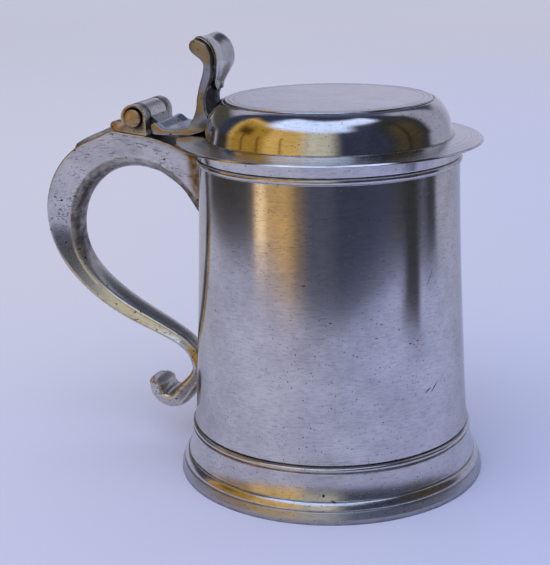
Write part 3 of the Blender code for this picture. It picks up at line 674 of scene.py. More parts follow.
@dataclass(frozen=True)
class TurnedPewter(Pewter):
    """Pewter skimmed on the lathe and burnished: fine rings that draw reflections out along Z."""

    anisotropy: float = 0.6
    ring_spacing: float = 0.9   # real rings are about 0.3, too fine to show at this size
    ring_depth: float = 0.001
    ring_drift: float = 2.0     # how much a ring changes on its way round
    dash_spacing: float = 0.45  # of short dull scratches round the axis
    dash_drift: float = 18.0
    dash_band: Point = (0.5, 0.75)      # noise at which a scratch starts and is full
    nick_reach: float = 4.0     # through the wall
    nick_floor: float = 0.5     # share of a nick that is full depth
    nicks: tuple[Nick, ...] = ()

    def tool_marks(self, tree: NodeTree, place: NodeSocket) -> tuple[NodeSocket, NodeSocket]:
        """Fine rings and short scratches round the axis, and nicks.

        Args:
            tree: Node tree of the finish.
            place: Where on the piece, in metres.

        Returns:
            The height of the marks in metres, and how far they hold dirt.
        """
        rings = self.round_noise(tree, place, self.ring_spacing, self.ring_drift)
        height = add(tree, "Math", {0: rings, 1: self.ring_depth * MM}, operation="MULTIPLY")
        dashes = self.round_noise(tree, place, self.dash_spacing, self.dash_drift)
        marks = add(tree, "MapRange", {"Value": dashes, "From Min": self.dash_band[0],
                                       "From Max": self.dash_band[1]})
        for nick in self.nicks:
            turn = radians(nick.turn)
            near = add(tree, "Mapping", {
                "Vector": place, "Rotation": (0.0, -radians(nick.tilt), turn),
                "Location": (nick.radius * MM * sin(turn), -nick.radius * MM * cos(turn), nick.z * MM),
                "Scale": (nick.length / 2 * MM, self.nick_reach * MM, nick.width / 2 * MM)},
                vector_type="TEXTURE")
            reach = add(tree, "VectorMath", {0: near}, operation="LENGTH").node.outputs["Value"]
            dent = add(tree, "MapRange", {"Value": reach, "From Min": 1.0, "From Max": self.nick_floor,
                                          "To Max": 1 / self.stroke_strength})
            marks = add(tree, "Math", {0: marks, 1: dent}, operation="MAXIMUM")
        return height, marks

    def round_noise(self, tree: NodeTree, place: NodeSocket, spacing: float, drift: float) -> NodeSocket:
        """Noise drawn out round the axis.

        Args:
            tree: Node tree of the finish.
            place: Where on the piece, in metres.
            spacing: Distance between lines.
            drift: How much a line changes on its way round.

        Returns:
            The noise, from 0 to 1.
        """
        x, y, z = add(tree, "SeparateXYZ", {0: place}).node.outputs
        flat = add(tree, "CombineXYZ", {0: x, 1: y})
        radius = add(tree, "VectorMath", {0: flat}, operation="LENGTH").node.outputs["Value"]
        around = add(tree, "VectorMath", {0: flat}, operation="NORMALIZE")
        turn_x, turn_y, _ = add(tree, "SeparateXYZ", {0: around}).node.outputs
        fine = 1 / (spacing * MM)
        across, up, first, second = (add(tree, "Math", {0: part, 1: times}, operation="MULTIPLY")
                                     for part, times in ((radius, fine), (z, fine), (turn_x, drift),
                                                         (turn_y, drift)))
        spot = add(tree, "CombineXYZ", {0: across, 1: up, 2: first})
        return add(tree, "TexNoise", {"Vector": spot, "W": second, "Scale": 1.0, "Detail": 2.0},
                   noise_dimensions="4D")


@dataclass(frozen=True)
class CastPewter(Pewter):
    """Pewter cast in a mould and filed by hand: a duller skin with strokes, pits and brown edges."""

    metal: str = "#DAD5CC"
    dull: str = "#BBB7B1"
    worn: str = "#D2CEC2"       # polished by the hand
    stain: str = "#8F6A16"
    stain_size: float = 3.0
    wear_roughness: float = -0.13
    dull_size: float = 15.0
    roughness: float = 0.25
    dull_roughness: float = 0.08
    wave_depth: float = 0.015
    pit_spacing: float = 2.6
    pit_radius: float = 0.8
    pit_share: float = 0.9
    pit_depth: float = 0.05
    speck_spacing: float = 1.4
    speck_radius: float = 0.4
    stroke_strength: float = 0.6
    grain_size: float = 1.6     # of the casting skin
    grain_depth: float = 0.012
    stroke_length: float = 4.0
    stroke_width: float = 0.6   # a real file stroke is about 0.3 wide, too fine to show
    stroke_depth: float = 0.02
    stroke_band: Point = (0.56, 0.64)   # noise at which a stroke starts and is full
    group_band: Point = (0.42, 0.55)    # and a group of strokes

    def tool_marks(self, tree: NodeTree, place: NodeSocket) -> tuple[NodeSocket, NodeSocket]:
        """Casting grain and short file strokes.

        Args:
            tree: Node tree of the finish.
            place: Where on the piece, in metres.

        Returns:
            The height of the marks in metres, and how far they hold dirt.
        """
        grain = add(tree, "TexNoise", {"Vector": place, "Scale": 1 / (self.grain_size * MM),
                                       "Detail": 3.0})
        height = add(tree, "Math", {0: grain, 1: self.grain_depth * MM}, operation="MULTIPLY")
        drawn = add(tree, "Mapping", {"Vector": place,
                                      "Scale": (self.stroke_width / self.stroke_length, 1.0, 1.0)})
        strokes = patches(tree, drawn, self.stroke_width, self.stroke_band)
        groups = patches(tree, place, 2 * self.stroke_length, self.group_band)
        strokes = add(tree, "Math", {0: strokes, 1: groups}, operation="MULTIPLY")
        height = add(tree, "Math", {0: strokes, 1: -self.stroke_depth * MM, 2: height},
                     operation="MULTIPLY_ADD")
        return height, strokes


@dataclass(frozen=True)
class TarnishedBrass(CastPewter):
    """Drawn brass wire, sawn off and tarnished: a warm mottled tan that hardly shines."""

    metal: str = "#C3AC8D"
    dull: str = "#988463"
    pit: str = "#4A3A26"
    dirt_and_shade: str = "#1E1812"
    roughness: float = 0.4
    dull_size: float = 3.0


# Vessel

@dataclass
class Vessel:
    """Drum with its lip and bead, foot ring and soldered floor."""

    seam: float = 0.3
    edge: float = 0.4
    fine_edge: float = 0.3
    scribe: float = 0.1         # depth of a shallow line
    foot_height: float = 21.5
    foot_radius: float = 63.5
    foot_width: float = 3.4     # of the ring that it stands on
    foot_wall: float = 2.5
    hollow_edge: float = 0.6    # roundings inside the foot
    skirt_height: float = 4.7
    skirt_lean: float = 1.1
    skirt_belly: Point = (0.125, 0.4)   # shares of its lean and height where it turns inward
    skirt_edge: float = 0.35
    skirt_quirk: float = 0.5    # groove above the skirt
    quirk_depth: float = 0.6    # of the foot's grooves
    round_height: float = 3.0
    round_depth: float = 1.9
    round_power: float = 1.4    # 2 would be a true quarter round
    cove_proud: float = 0.9
    cove_power: float = 1.9
    cove_share: float = 0.92    # of its curve that is left above the quarter round
    cove_edge: float = 0.2
    fillet: float = 0.6         # flat between the cove and the groove above it
    foot_quirk: float = 0.45    # grooves below and above the bead of the foot
    quirk_floor: float = 0.2    # deepest line of the lower one, below the bead
    foot_bead: float = 2.0
    spigot_height: float = 3.5  # inside the drum
    spigot_radius: float = 54.5
    spigot_bore: float = 52.9
    ledge_z: float = 14.0
    ledge_bore: float = 50.6
    ledge_depth: float = 2.0
    floor_depth: float = 2.0
    floor_rings: Point = (30.6, 24.0)   # radii of a shallow ring on its top and its underside
    floor_ring: Point = (0.6, 0.2)      # half of such a ring's width, and its depth
    drum_foot_radius: float = 57.4
    drum_edge: float = 0.25
    drum_radius: float = 52.3
    taper: float = 4.6
    taper_power: float = 1.4
    flare: float = 0.5
    flare_height: float = 9.0
    wall: float = 2.1
    lip_z: float = 137.9
    lip_height: float = 5.3
    lip_radius: float = 53.5
    lip_lean: float = 0.8       # the band spreads a little upwards
    lip_bore: float = 51.0
    bead_height: float = 2.4
    bead_proud: float = 0.9
    quirk: float = 0.3          # groove between the bead and the band

    @property
    def drum_z(self) -> float:
        """Foot of the drum."""
        return self.foot_height + self.seam

    @property
    def bead_z(self) -> float:
        """Foot of the bead under the lip."""
        return self.lip_z - self.lip_height - self.quirk - self.bead_height

    def radius_at(self, z: float) -> float:
        """Outer radius of the drum's wall at a height.

        Args:
            z: The height.

        Returns:
            The radius.
        """
        share = max(0.0, (self.bead_z - z) / (self.bead_z - self.drum_z))
        sweep = max(0.0, 1 - (z - self.drum_z) / self.flare_height)
        return self.drum_radius + self.taper * share ** self.taper_power + self.flare * sweep ** 2

    def drum(self) -> Mesh:
        """Drum: wall, bead, groove and lip band outside, and a plain bore.

        Returns:
            The mesh.
        """
        band = self.lip_z - self.lip_height
        groove = self.drum_radius - self.scribe
        heights = spread(self.drum_z + self.drum_edge, self.bead_z - self.quirk, 60)
        bead = half_round(self.drum_radius, self.bead_z, self.bead_height, self.bead_proud, 14)
        bore = [(self.radius_at(z) - self.wall, z)
                for z in spread(self.bead_z, self.drum_z + self.flare_height, 30)]
        profile = Profile()
        # dirt values: old polish in the grooves and seams, and painted shade in them
        profile.to(self.drum_foot_radius - self.drum_edge, self.drum_z, dirt_and_shade=0.8)
        profile.along([(self.radius_at(z), z) for z in heights])
        profile.to(self.drum_radius, self.bead_z, dirt_and_shade=0.6).along(bead[1:-1])
        profile.to(groove, band - self.quirk, dirt_and_shade=1.0).to(groove, band, dirt_and_shade=1.0)
        profile.to(self.lip_radius - self.lip_lean, band, self.edge)
        profile.to(self.lip_radius, self.lip_z, self.edge).to(self.lip_bore, self.lip_z, self.edge)
        profile.to(self.lip_bore, band).along(bore).to(bore[-1][0] + self.seam, self.drum_z)
        return turned("drum_shell", profile, joined=True)

    def foot_ring(self) -> Mesh:
        """Foot ring: skirt, groove, quarter round, cove, groove and bead, with a ledge inside.

        Returns:
            The mesh.
        """
        inside = self.foot_radius - self.foot_width
        skirt_top = self.foot_radius - self.skirt_lean
        lean, rise = self.skirt_belly
        round_z = self.skirt_height + self.skirt_quirk
        round_foot = skirt_top - self.skirt_quirk / 2 - self.round_depth
        bead_z = self.foot_height - self.foot_bead - self.foot_quirk
        cove_top = self.drum_foot_radius + self.cove_proud
        cove_low, cove_high = round_z + self.round_height, bead_z - self.foot_quirk - self.fillet
        spigot_z = self.foot_height + self.spigot_height
        bead = half_round(self.drum_foot_radius, bead_z, self.foot_bead, self.cove_proud, 14)

        profile = Profile()
        # dirt values: old polish in the grooves, and painted shade in them
        profile.to(inside, 0.0, self.fine_edge).to(self.foot_radius, 0.0, self.fine_edge, dirt_and_shade=0.5)
        profile.to(self.foot_radius - self.skirt_lean * lean, self.skirt_height * rise)
        profile.to(skirt_top, self.skirt_height, self.skirt_edge)
        profile.to(skirt_top - self.quirk_depth, round_z - self.skirt_quirk / 2, dirt_and_shade=1.0)
        profile.along([(round_foot + self.round_depth * x, round_z + self.round_height * z)
                       for x, z in oval(self.round_power, 0.0, 90.0, 14)[:-1]])
        profile.to(round_foot - self.scribe, cove_low, dirt_and_shade=0.7)
        profile.along([(cove_top + (round_foot - cove_top) * t ** self.cove_power,
                        cove_high - (cove_high - cove_low) * t) for t in spread(self.cove_share, 0.0, 24)])
        profile.to(cove_top, bead_z - self.foot_quirk, self.cove_edge)
        profile.to(cove_top - self.quirk_depth, bead_z - self.quirk_floor, dirt_and_shade=1.0).along(bead[1:-1])
        profile.to(self.drum_foot_radius - self.edge, self.foot_height, dirt_and_shade=1.0)
        profile.to(self.spigot_radius, self.foot_height).to(self.spigot_radius, spigot_z, self.fine_edge)
        profile.to(self.spigot_bore, spigot_z, self.fine_edge).to(self.spigot_bore, self.ledge_z, dirt_and_shade=0.6)
        profile.to(self.ledge_bore, self.ledge_z, self.fine_edge)
        profile.to(self.ledge_bore, self.ledge_z - self.ledge_depth, self.fine_edge)
        profile.to(round_foot - self.foot_wall, cove_low, self.hollow_edge)
        profile.to(inside, self.skirt_height / 2, self.hollow_edge)
        return turned("foot_ring", profile, joined=True,
                      wear=lambda _, z: ramp(z, self.skirt_height + self.fine_edge, self.skirt_height))

    def floor(self) -> Mesh:
        """Floor disc with a shallow turned ring on both faces.

        Returns:
            The mesh.
        """
        radius = self.spigot_bore - self.seam
        low = self.ledge_z + self.seam
        high = low + self.floor_depth
        half, depth = self.floor_ring
        profile = Profile()
        # dirt values: old polish and painted shade in the rings and at the edge
        profile.to(HUB, high).groove(self.floor_rings[0], high, half, depth, dirt_and_shade=0.7)
        profile.to(radius, high, self.edge, dirt_and_shade=0.8).to(radius, low)
        profile.groove(self.floor_rings[1], low, -half, -depth, dirt_and_shade=0.7).to(HUB, low)
        return turned("floor_disc", profile, joined=False)

    def build(self, bright: Material, worn: Material, dull: Material) -> None:
        """Build the drum, foot ring and floor, and dress each in its finish.

        Args:
            bright: Finish of the drum.
            worn: Finish of the foot ring.
            dull: Finish of the floor.
        """
        add_piece(self.drum(), bright, Body.VESSEL, "drum")
        add_piece(self.foot_ring(), worn, Body.VESSEL, "base_moulding")
        add_piece(self.floor(), dull, Body.VESSEL, "bottom_disc")


# Lid

@dataclass
class Lid:
    """Flanged lid with a round shoulder and flat top, and the bezel under it."""

    seam: float = 0.3
    z: float = 138.2
    flange_radius: float = 61.3
    flange_rim: float = 0.8
    flange_rise: float = 1.0
    flange_rings: tuple[float, ...] = (0.4, 0.6, 0.72, 0.84)     # shares of its width
    flange_ring: Point = (0.3, 0.06)    # half of such a ring's width, and its depth
    flange_fall: float = 0.02   # over half of a ring
    flange_wear: Point = (0.6, 0.2)     # how far the rubbing fades at its inner and outer edge
    chamfer: float = 0.55       # of the rim, which catches the light as a bright line
    chamfer_slope: float = 1.2
    rim_edges: Point = (0.1, 0.12)      # roundings above and below
    dome_radius: float = 50.1
    foot_fillet: float = 0.6    # where the side meets the flange
    foot_lift: float = 0.05     # of the side's foot above the flange
    foot_edge: float = 0.3
    cove: float = 1.4
    cove_height: float = 4.4
    lean: float = 12.0          # of the side below the shoulder
    shoulder_run: float = 6.4
    shoulder_rise: float = 9.8
    shoulder_power: float = 1.4
    step: float = 0.6
    step_run: float = 1.2
    step_edge: float = 0.2
    step_groove: Point = (0.3, 0.1)     # half of the width of the groove below the step, and its depth
    top_insets: Point = (3.4, 1.3)      # faint rings on the flat top, from its edge
    top_ring: Point = (0.35, 0.1)       # half of such a ring's width, and its depth
    wall: float = 2.0
    hollow_edge: float = 0.4
    bezel_radius: float = 50.4
    bezel_depth: float = 4.0
    bezel_wall: float = 1.5
    bezel_edges: Point = (0.4, 0.3)     # roundings outside and inside

    @property
    def dome_z(self) -> float:
        """Foot of the dome."""
        return self.z + self.flange_rim + self.flange_rise

    @property
    def shoulder_foot(self) -> float:
        """Angle on the shoulder's curve where it leans as much as the side below it."""
        lean = tan(radians(self.lean)) * self.shoulder_rise / self.shoulder_run
        return degrees(atan(lean ** (1 / (2 - 2 / self.shoulder_power))))

    def shoulder(self, inset: float, count: int) -> Line:
        """Round shoulder, listed downwards.

        Args:
            inset: Thickness by which it is drawn in.
            count: How many points to make.

        Returns:
            The points.
        """
        foot = self.dome_radius - self.cove - self.shoulder_run - inset
        low = self.dome_z + self.cove_height
        return [(foot + self.shoulder_run * x, low + (self.shoulder_rise - inset) * z)
                for x, z in oval(self.shoulder_power, 90.0, self.shoulder_foot, count)]

    def wall_at(self, z: float) -> float:
        """Outer radius of the dome's side at a height.

        Args:
            z: The height.

        Returns:
            The radius.
        """
        points = self.shoulder(0.0, 60)[::-1]
        foot, low = points[0]
        if z < low:
            return foot + (low - z) * tan(radians(self.lean))
        return next((r for r, height in points if height >= z), points[-1][0])

    def cap(self) -> Mesh:
        """Lid from the middle of its top to the flange, and its hollow.

        Returns:
            The mesh.
        """
        top = self.dome_z + self.cove_height + self.shoulder_rise + self.step
        top_radius = self.dome_radius - self.cove - self.shoulder_run - self.step_run
        half, depth = self.step_groove
        fillet = self.dome_z + self.foot_fillet
        rim, rim_radius = self.z + self.flange_rim, self.flange_radius - self.chamfer
        above, below = self.rim_edges
        hollow = self.shoulder(self.wall, 16)[::-1]
        inner, outer = self.flange_wear

        profile = Profile()
        profile.to(HUB, top)
        # dirt values: old polish and painted shade in the rings and grooves
        for inset in self.top_insets:
            profile.groove(top_radius - inset, top, *self.top_ring, dirt_and_shade=0.5)
        profile.to(top_radius, top, self.step_edge)
        profile.to(top_radius + half, top - self.step - depth, dirt_and_shade=1.0)
        profile.to(top_radius + 2 * half, top - self.step - depth / 2, dirt_and_shade=0.8)
        profile.along(self.shoulder(0.0, 40)).to(self.wall_at(fillet), fillet)
        profile.to(self.wall_at(self.dome_z), self.dome_z + self.foot_lift, self.foot_edge, dirt_and_shade=0.5)
        profile.to(self.dome_radius, rim + self.flange_rise)
        for share in self.flange_rings:
            ring = self.dome_radius + (rim_radius - self.dome_radius) * share
            level = rim + self.flange_rise * (1 - share)
            profile.groove(ring, level, *self.flange_ring, dirt_and_shade=0.22, fall=self.flange_fall)
        profile.to(rim_radius, rim, above)
        profile.to(self.flange_radius, rim - self.chamfer * self.chamfer_slope, above)
        profile.to(self.flange_radius, self.z, below)
        profile.to(self.dome_radius - self.cove / 2 - self.wall, self.z, self.hollow_edge)
        profile.along(hollow).to(HUB, hollow[-1][1])
        return turned("domed_lid", profile, joined=False,
                      wear=lambda r, _: ramp(r, self.dome_radius, self.dome_radius + inner)
                      * ramp(r, rim_radius, rim_radius - outer))

    def bezel(self) -> Mesh:
        """Ring that drops inside the lip.

        Returns:
            The mesh.
        """
        high = self.z - self.seam
        low = high - self.bezel_depth
        bore = self.bezel_radius - self.bezel_wall
        profile = Profile()
        # dirt values: painted shade where the bezel meets the lid
        profile.to(self.bezel_radius, high, dirt_and_shade=0.8).to(self.bezel_radius, low, self.bezel_edges[0])
        profile.to(bore, low, self.bezel_edges[1]).to(bore, high, dirt_and_shade=0.8)
        return turned("lid_bezel_ring", profile, joined=True)

    def build(self, bright: Material, dull: Material) -> None:
        """Build the lid and its bezel, and dress each in its finish."""
        add_piece(self.cap(), bright, Body.LID, "lid")
        add_piece(self.bezel(), dull, Body.LID, "lid_bezel")


# Hinge

@dataclass
class Hinge:
    """Two lugs on the handle and the pin through them."""

    seam: float = 0.3
    edge: float = 0.5
    pin_reach: float = 79.0
    pin_z: float = 145.8
    pin_radius: float = 3.3
    pin_proud: float = 1.2
    pin_peen: float = 0.4       # the hammered ends are wider than the pin
    pin_ends: tuple[Point, ...] = (     # depth below each end, and share of its width there
        (0.0, 0.25), (0.03, 0.6), (0.1, 0.85), (0.35, 0.97), (0.6, 1.0), (0.9, 0.97))
    play: float = 0.35
    wear: float = 0.45          # of the bores in the lugs
    wear_turn: float = 135.0    # its direction
    knuckle_radius: float = 5.5
    length: float = 27.5
    lug_width: float = 5.3
    lug_turn: Point = (180.0, -25.0)    # angles between which the barrel of a lug is round
    toe_reach: float = 10.4
    toe_height: float = 3.7
    toe_turn: Point = (90.0, -50.0)     # and its toe
    toe_stain: Point = (-1.5, 0.5)      # where it starts and is full, from the middle of the toe
    darkening: float = 0.9          # share of painted shade in the gaps between the lugs and the knuckle
    darkening_share: float = 0.8    # of an eased edge that it covers
    bore_skin: float = 0.1      # points this near to a bore count as its wall
    seat_z: float = 139.06
    seat_tilt: float = 6.5

    def seat(self, reach: float) -> float:
        """Height of the tilted seat on the handle."""
        return self.seat_z + (reach - self.pin_reach) * tan(radians(self.seat_tilt))

    def sole(self, reach: float) -> float:
        """Height of a lug's sole, just above the seat."""
        return self.seat(reach) + self.seam

    def lug(self, side: Side) -> Mesh:
        """A lug: barrel, foot and rounded toe, with its bore worn wide.

        Args:
            side: Side of the hinge that it stands on.

        Returns:
            The mesh.
        """
        flank = self.pin_reach - self.knuckle_radius
        toe_end = self.pin_reach + self.toe_reach
        rounding = self.toe_height / 2
        toe = (toe_end - rounding, self.sole(toe_end) + rounding)
        pin = (self.pin_reach, self.pin_z)
        outline = [(flank, self.sole(flank))]
        outline += arc(pin, self.knuckle_radius, *self.lug_turn, 48)
        outline += arc(toe, rounding, *self.toe_turn, 16)
        outline.append((toe[0], self.sole(toe[0])))
        bore = polar(pin, self.wear, self.wear_turn)
        bore_radius = self.pin_radius + self.play + self.wear
        outer = self.length / 2
        inner = outer - self.lug_width
        ends = tuple(sorted((side.value * outer, side.value * inner)))
        mesh = plate(f"hinge_lug_{side.name.lower()}_cast", outline, circle(bore, bore_radius), ends,
                     self.edge)
        dirt_and_shade, stain = [], []
        for vertex in mesh.vertices:
            x, y, z = vertex.co / MM
            # painted shade inside the worn bore, and on the inner faces beside the knuckle
            in_bore = hypot(-x - bore[0], z - bore[1]) < bore_radius + self.bore_skin
            inward = abs(y) < inner + self.edge * self.darkening_share
            dirt_and_shade.append(1.0 if in_bore else self.darkening * inward)
            stain.append(ramp(-x - toe[0], *self.toe_stain))
        paint(mesh, {Mark.DIRT_AND_SHADE: dirt_and_shade, Mark.STAIN: stain})
        return mesh

    def pin(self) -> Mesh:
        """Pin with slightly domed ends.

        Returns:
            The mesh.
        """
        half = self.length / 2 + self.pin_proud
        head = self.pin_radius + self.pin_peen
        ends = [(half - depth, head * share) for depth, share in self.pin_ends]
        ends.append((half - self.pin_proud, self.pin_radius))
        rings = [[(-reach, y, z) for reach, z in circle((self.pin_reach, self.pin_z), radius)]
                 for y, radius in ends + mirrored(ends)]
        return skin("hinge_pin_drawn", rings, joined=False)

    def build(self, cast: Material, brass: Material) -> None:
        """Build the lugs and the pin, and dress each in its finish.

        Args:
            cast: Finish of the lugs.
            brass: Finish of the pin.
        """
        for side, node in ((Side.NEAR, "hinge_lug_near"), (Side.FAR, "hinge_lug_far")):
            add_piece(self.lug(side), cast, Body.VESSEL, node, flat=True)
        add_piece(self.pin(), brass, Body.VESSEL, "hinge_pin")


# Thumbpiece

class Bar(NamedTuple):
    """Middle of a bar in the plane of the handle, with its depth and width."""

    reach: float
    z: float
    depth: float
    width: float


@dataclass
class Thumbpiece:
    """Leaf on the flange, middle knuckle, stem and rolled head with a raised shield.

    Places along the bar are shares of its length, from the hinge to the end of the head.
    """

    sections: int = 150
    edge: float = 0.7
    edge_share: float = 0.3         # of the bar's depth, at most
    edge_stain: float = 0.3
    height: float = 38.4            # above the underside of the leaf
    sway: float = 4.6               # how far the head leans in over the lid
    leaf_depth: float = 2.4
    leaf_end_depth: float = 4.8
    leaf_clearance: float = 2.4     # end of the leaf from the barrels of the lugs
    leaf_dish: float = 0.7          # hollow of the leaf's top
    leaf_dish_start: Point = (0.02, 0.08)   # along the bar
    leaf_dish_end: Point = (0.28, 0.22)
    leaf_dish_sides: Point = (1.0, 0.7)     # shares of half its width
    stem_start: float = 0.28        # along the bar
    stem_fade: float = 0.05
    stem_depth: float = 3.3
    stem_width: float = 18.0
    head_depth: float = 6.2
    head_width: float = 23.5
    foot_spread: Point = (149.5, 144.5)     # heights between which the stem spreads to the dome
    sink: float = 0.2               # into the dome
    dish: float = 1.3               # hollow of the stem's front
    dish_run: float = 4.0           # from the edge to its full depth
    dish_insets: Point = (4.0, 6.5)     # points that carry it
    dish_heights: Point = (144.0, 148.0)
    dish_end: Point = (0.03, -0.01)     # along the bar, from the start of the shield
    dish_shade: float = 0.75         # painted shade in the hollow of the stem's front, per millimetre of depth
    # the sides are darker towards the foot of the stem, by these amounts
    side_darkening: float = 0.25
    side_darkening_heights: Point = (141.0, 144.0)
    foot_darkening_heights: Point = (153.5, 147.5)   # where it doubles
    corner_darkening: Point = (0.5, 1.5)     # how far round the edge it starts and is full, in radians
    # gold on the sides towards the foot of the stem: partly stain, partly a painted reflection of the warm
    # room
    side_stain_and_reflection: float = 0.35
    side_stain_and_reflection_heights: Point = (161.5, 147.5)
    side_skin: float = 0.05         # points this near to a side count as the side
    edge_skin: float = 0.02         # and this near no longer as its edge
    groove_depth: float = 0.6       # of two grooves down each side of the head
    groove_insets: Point = (0.85, 1.55)     # from the side of the head
    groove_half: float = 0.3
    groove_lip: float = 0.05        # shift of the line between the edge and the first groove
    groove_ridge: float = 0.1       # share of their depth between them
    groove_start: Point = (0.0, 0.06)   # along the bar, from the start of the shield
    groove_end: Point = (0.92, 0.82)    # along the bar
    shield_start: float = 0.515     # along the bar
    shield_end: float = 0.93
    shield_margin: float = 1.9
    shield_tip: float = 3.0         # width of its point
    shield_proud: float = 1.7
    shield_dish: float = 1.2
    shield_crown: float = 0.15      # share of its height that its rounded top takes up
    shield_root: float = 0.8        # depth of its back inside the bar
    taper_share: float = 0.32       # of the shield's length, like the shares below
    taper_power: float = 0.55
    neck_share: Point = (0.4, 0.18)     # where it lies close to the stem, above its point
    neck_proud: float = 1.0
    tip_share: float = 0.14
    tip_proud: float = 2.8
    tip_clear: float = 1.6          # how far the back of the point stands off the stem
    end_shares: Point = (0.03, 0.16)    # over which its height falls away at both ends
    quirks: tuple[tuple[float, float, float], ...] = (  # its edge: share of the height, overhang, dirt and painted shade
        (-0.1, 0.0, 1.0), (0.3, 0.0, 1.0), (0.38, 0.3, 0.0), (0.48, 0.3, 0.0), (0.56, 0.0, 1.0),
        (0.8, 0.0, 1.0), (0.9, 0.25, 0.1))
    knuckle_turn: Point = (178.0, -95.0)    # angles between which the knuckle is round
    knuckle_play: float = 0.35      # sideways, between the knuckle and each lug

    def leaf_end(self, hinge: Hinge) -> float:
        """Reach of the leaf's end, clear of the barrels."""
        return hinge.pin_reach - hinge.knuckle_radius - self.leaf_clearance

    def leaf_z(self, lid: Lid) -> float:
        """Underside of the leaf."""
        return lid.z + lid.flange_rim + lid.seam

    def bars(self, hinge: Hinge, lid: Lid) -> list[Bar]:
        """Leaf, stem and head, from the hinge to the rolled end of the head.

        Args:
            hinge: Hinge that the leaf stops short of.
            lid: Lid that the leaf lies on.

        Returns:
            A bar for each place where the piece changes its course or size.
        """
        low, end = self.leaf_z(lid), self.leaf_end(hinge)
        leaf, thick, stem, head = self.leaf_depth, self.leaf_end_depth, self.stem_depth, self.head_depth
        foot = lid.dome_radius + stem * 0.28
        top = foot - self.sway
        run, up = end - foot, self.height
        width, narrow, broad = hinge.length, self.stem_width, self.head_width
        return [
            Bar(end - thick * 0.05, low + thick / 2, thick * 0.55, width),
            Bar(end - thick * 0.25, low + thick / 2, thick, width),
            Bar(end - run * 0.26, low + leaf / 2, leaf * 1.15, width),
            Bar(end - run * 0.58, low + leaf / 2, leaf, width),
            Bar(end - run * 0.84, low + leaf * 0.8, leaf * 1.4, width),
            Bar(foot + stem * 0.2, low + up * 0.12, stem * 1.6, width * 0.9),
            Bar(foot, low + up * 0.245, stem * 1.25, narrow * 1.1),
            Bar(foot, low + up * 0.375, stem, narrow),
            Bar(foot - self.sway * 0.34, low + up * 0.505, stem * 1.1, narrow * 1.05),
            Bar(top + self.sway * 0.16, low + up * 0.64, stem * 1.15, broad * 0.93),
            Bar(top, low + up * 0.745, head * 0.6, broad),
            Bar(top + head * 0.14, low + up * 0.825, head * 0.84, broad),
            Bar(top + head * 0.44, low + up * 0.885, head, broad),
            Bar(top + head * 0.84, low + up * 0.923, head * 0.94, broad * 0.98),
            Bar(top + head * 1.12, low + up * 0.941, head * 0.68, broad * 0.95),
            Bar(top + head * 1.24, low + up * 0.948, head * 0.32, broad * 0.92),
        ]

    def frames(self, hinge: Hinge, lid: Lid) -> list[tuple[Bar, Vector]]:
        """Bars close together along the piece.

        Args:
            hinge: Hinge that the leaf stops short of.
            lid: Lid that the leaf lies on.

        Returns:
            Each bar, with its normal away from the lid.
        """
        bars = [Bar(*bar) for bar in through(self.bars(hinge, lid), self.sections)]
        out = []
        for i, bar in enumerate(bars):
            before, after = bars[max(0, i - 1)], bars[min(len(bars) - 1, i + 1)]
            along = Vector((after.reach - before.reach, after.z - before.z)).normalized()
            out.append((bar, Vector((along.y, -along.x))))
        return out

    def section(self, bar: Bar, share: float, edge: float) -> Row:
        """Ring round the lever, with two grooves beside the shield.

        Args:
            bar: The bar at that place.
            share: Place along the bar.
            edge: Rounding of its edges.

        Returns:
            Points of (distance sideways, distance away from the lid, dirt and painted shade).
        """
        half, deep = bar.width / 2, bar.depth / 2
        past = share - self.shield_start
        cut = ramp(past, *self.groove_start) * ramp(share, *self.groove_end)
        first, second = self.groove_insets
        lines = [(edge, 0.0), ((edge + first) / 2 + self.groove_lip, 0.0), (first, cut),
                 ((first + second) / 2, cut * self.groove_ridge), (second, cut),
                 (second + self.groove_half, 0.0), *[(inset, 0.0) for inset in (*self.dish_insets, half)]]
        hollow = self.dish * ramp(bar.z, *self.dish_heights) * ramp(past, *self.dish_end)
        front = []
        for inset, depth in lines:
            dish = hollow * ramp(inset, edge, edge + self.dish_run)
            # grooves and the hollow of the front are darkened: dirt and painted shade
            dirt_and_shade = max(depth, self.dish_shade * dish)
            front.append((half - inset, -deep + depth * self.groove_depth + dish, dirt_and_shade))
        front += mirrored(front[:-1])
        # the sides darken towards the foot of the stem
        darkening = self.side_darkening * ramp(bar.z, *self.side_darkening_heights)
        darkening *= 1 + ramp(bar.z, *self.foot_darkening_heights)
        corner = [(half - edge + edge * sin(a), -deep + edge - edge * cos(a),
                   darkening * ramp(a, *self.corner_darkening)) for a in spread(0.0, pi / 2, 5)[1:]]
        side = corner + [(half, 0.0, darkening)] + [(y, -out, dirt_and_shade) for y, out, dirt_and_shade in corner[::-1]]
        hollow = self.leaf_dish * ramp(share, *self.leaf_dish_start) * ramp(share, *self.leaf_dish_end)
        back = [(y * (half - edge), deep - hollow * ramp(abs(y), *self.leaf_dish_sides), 0.0)
                for y in spread(1.0, -1.0, 25)]
        return front[::-1] + side + back + mirrored(side)

    def lever(self, hinge: Hinge, lid: Lid) -> Mesh:
        """Leaf, stem and head as one bar with eased edges.

        Args:
            hinge: Hinge that the leaf stops short of.
            lid: Lid whose dome the foot of the stem lies against.

        Returns:
            The mesh.
        """
        rings, dirt_and_shade, stain = [], [], []
        for i, (bar, normal) in enumerate(self.frames(hinge, lid)):
            share = i / (self.sections - 1)
            half = bar.width / 2
            edge = min(self.edge, bar.depth * self.edge_share)
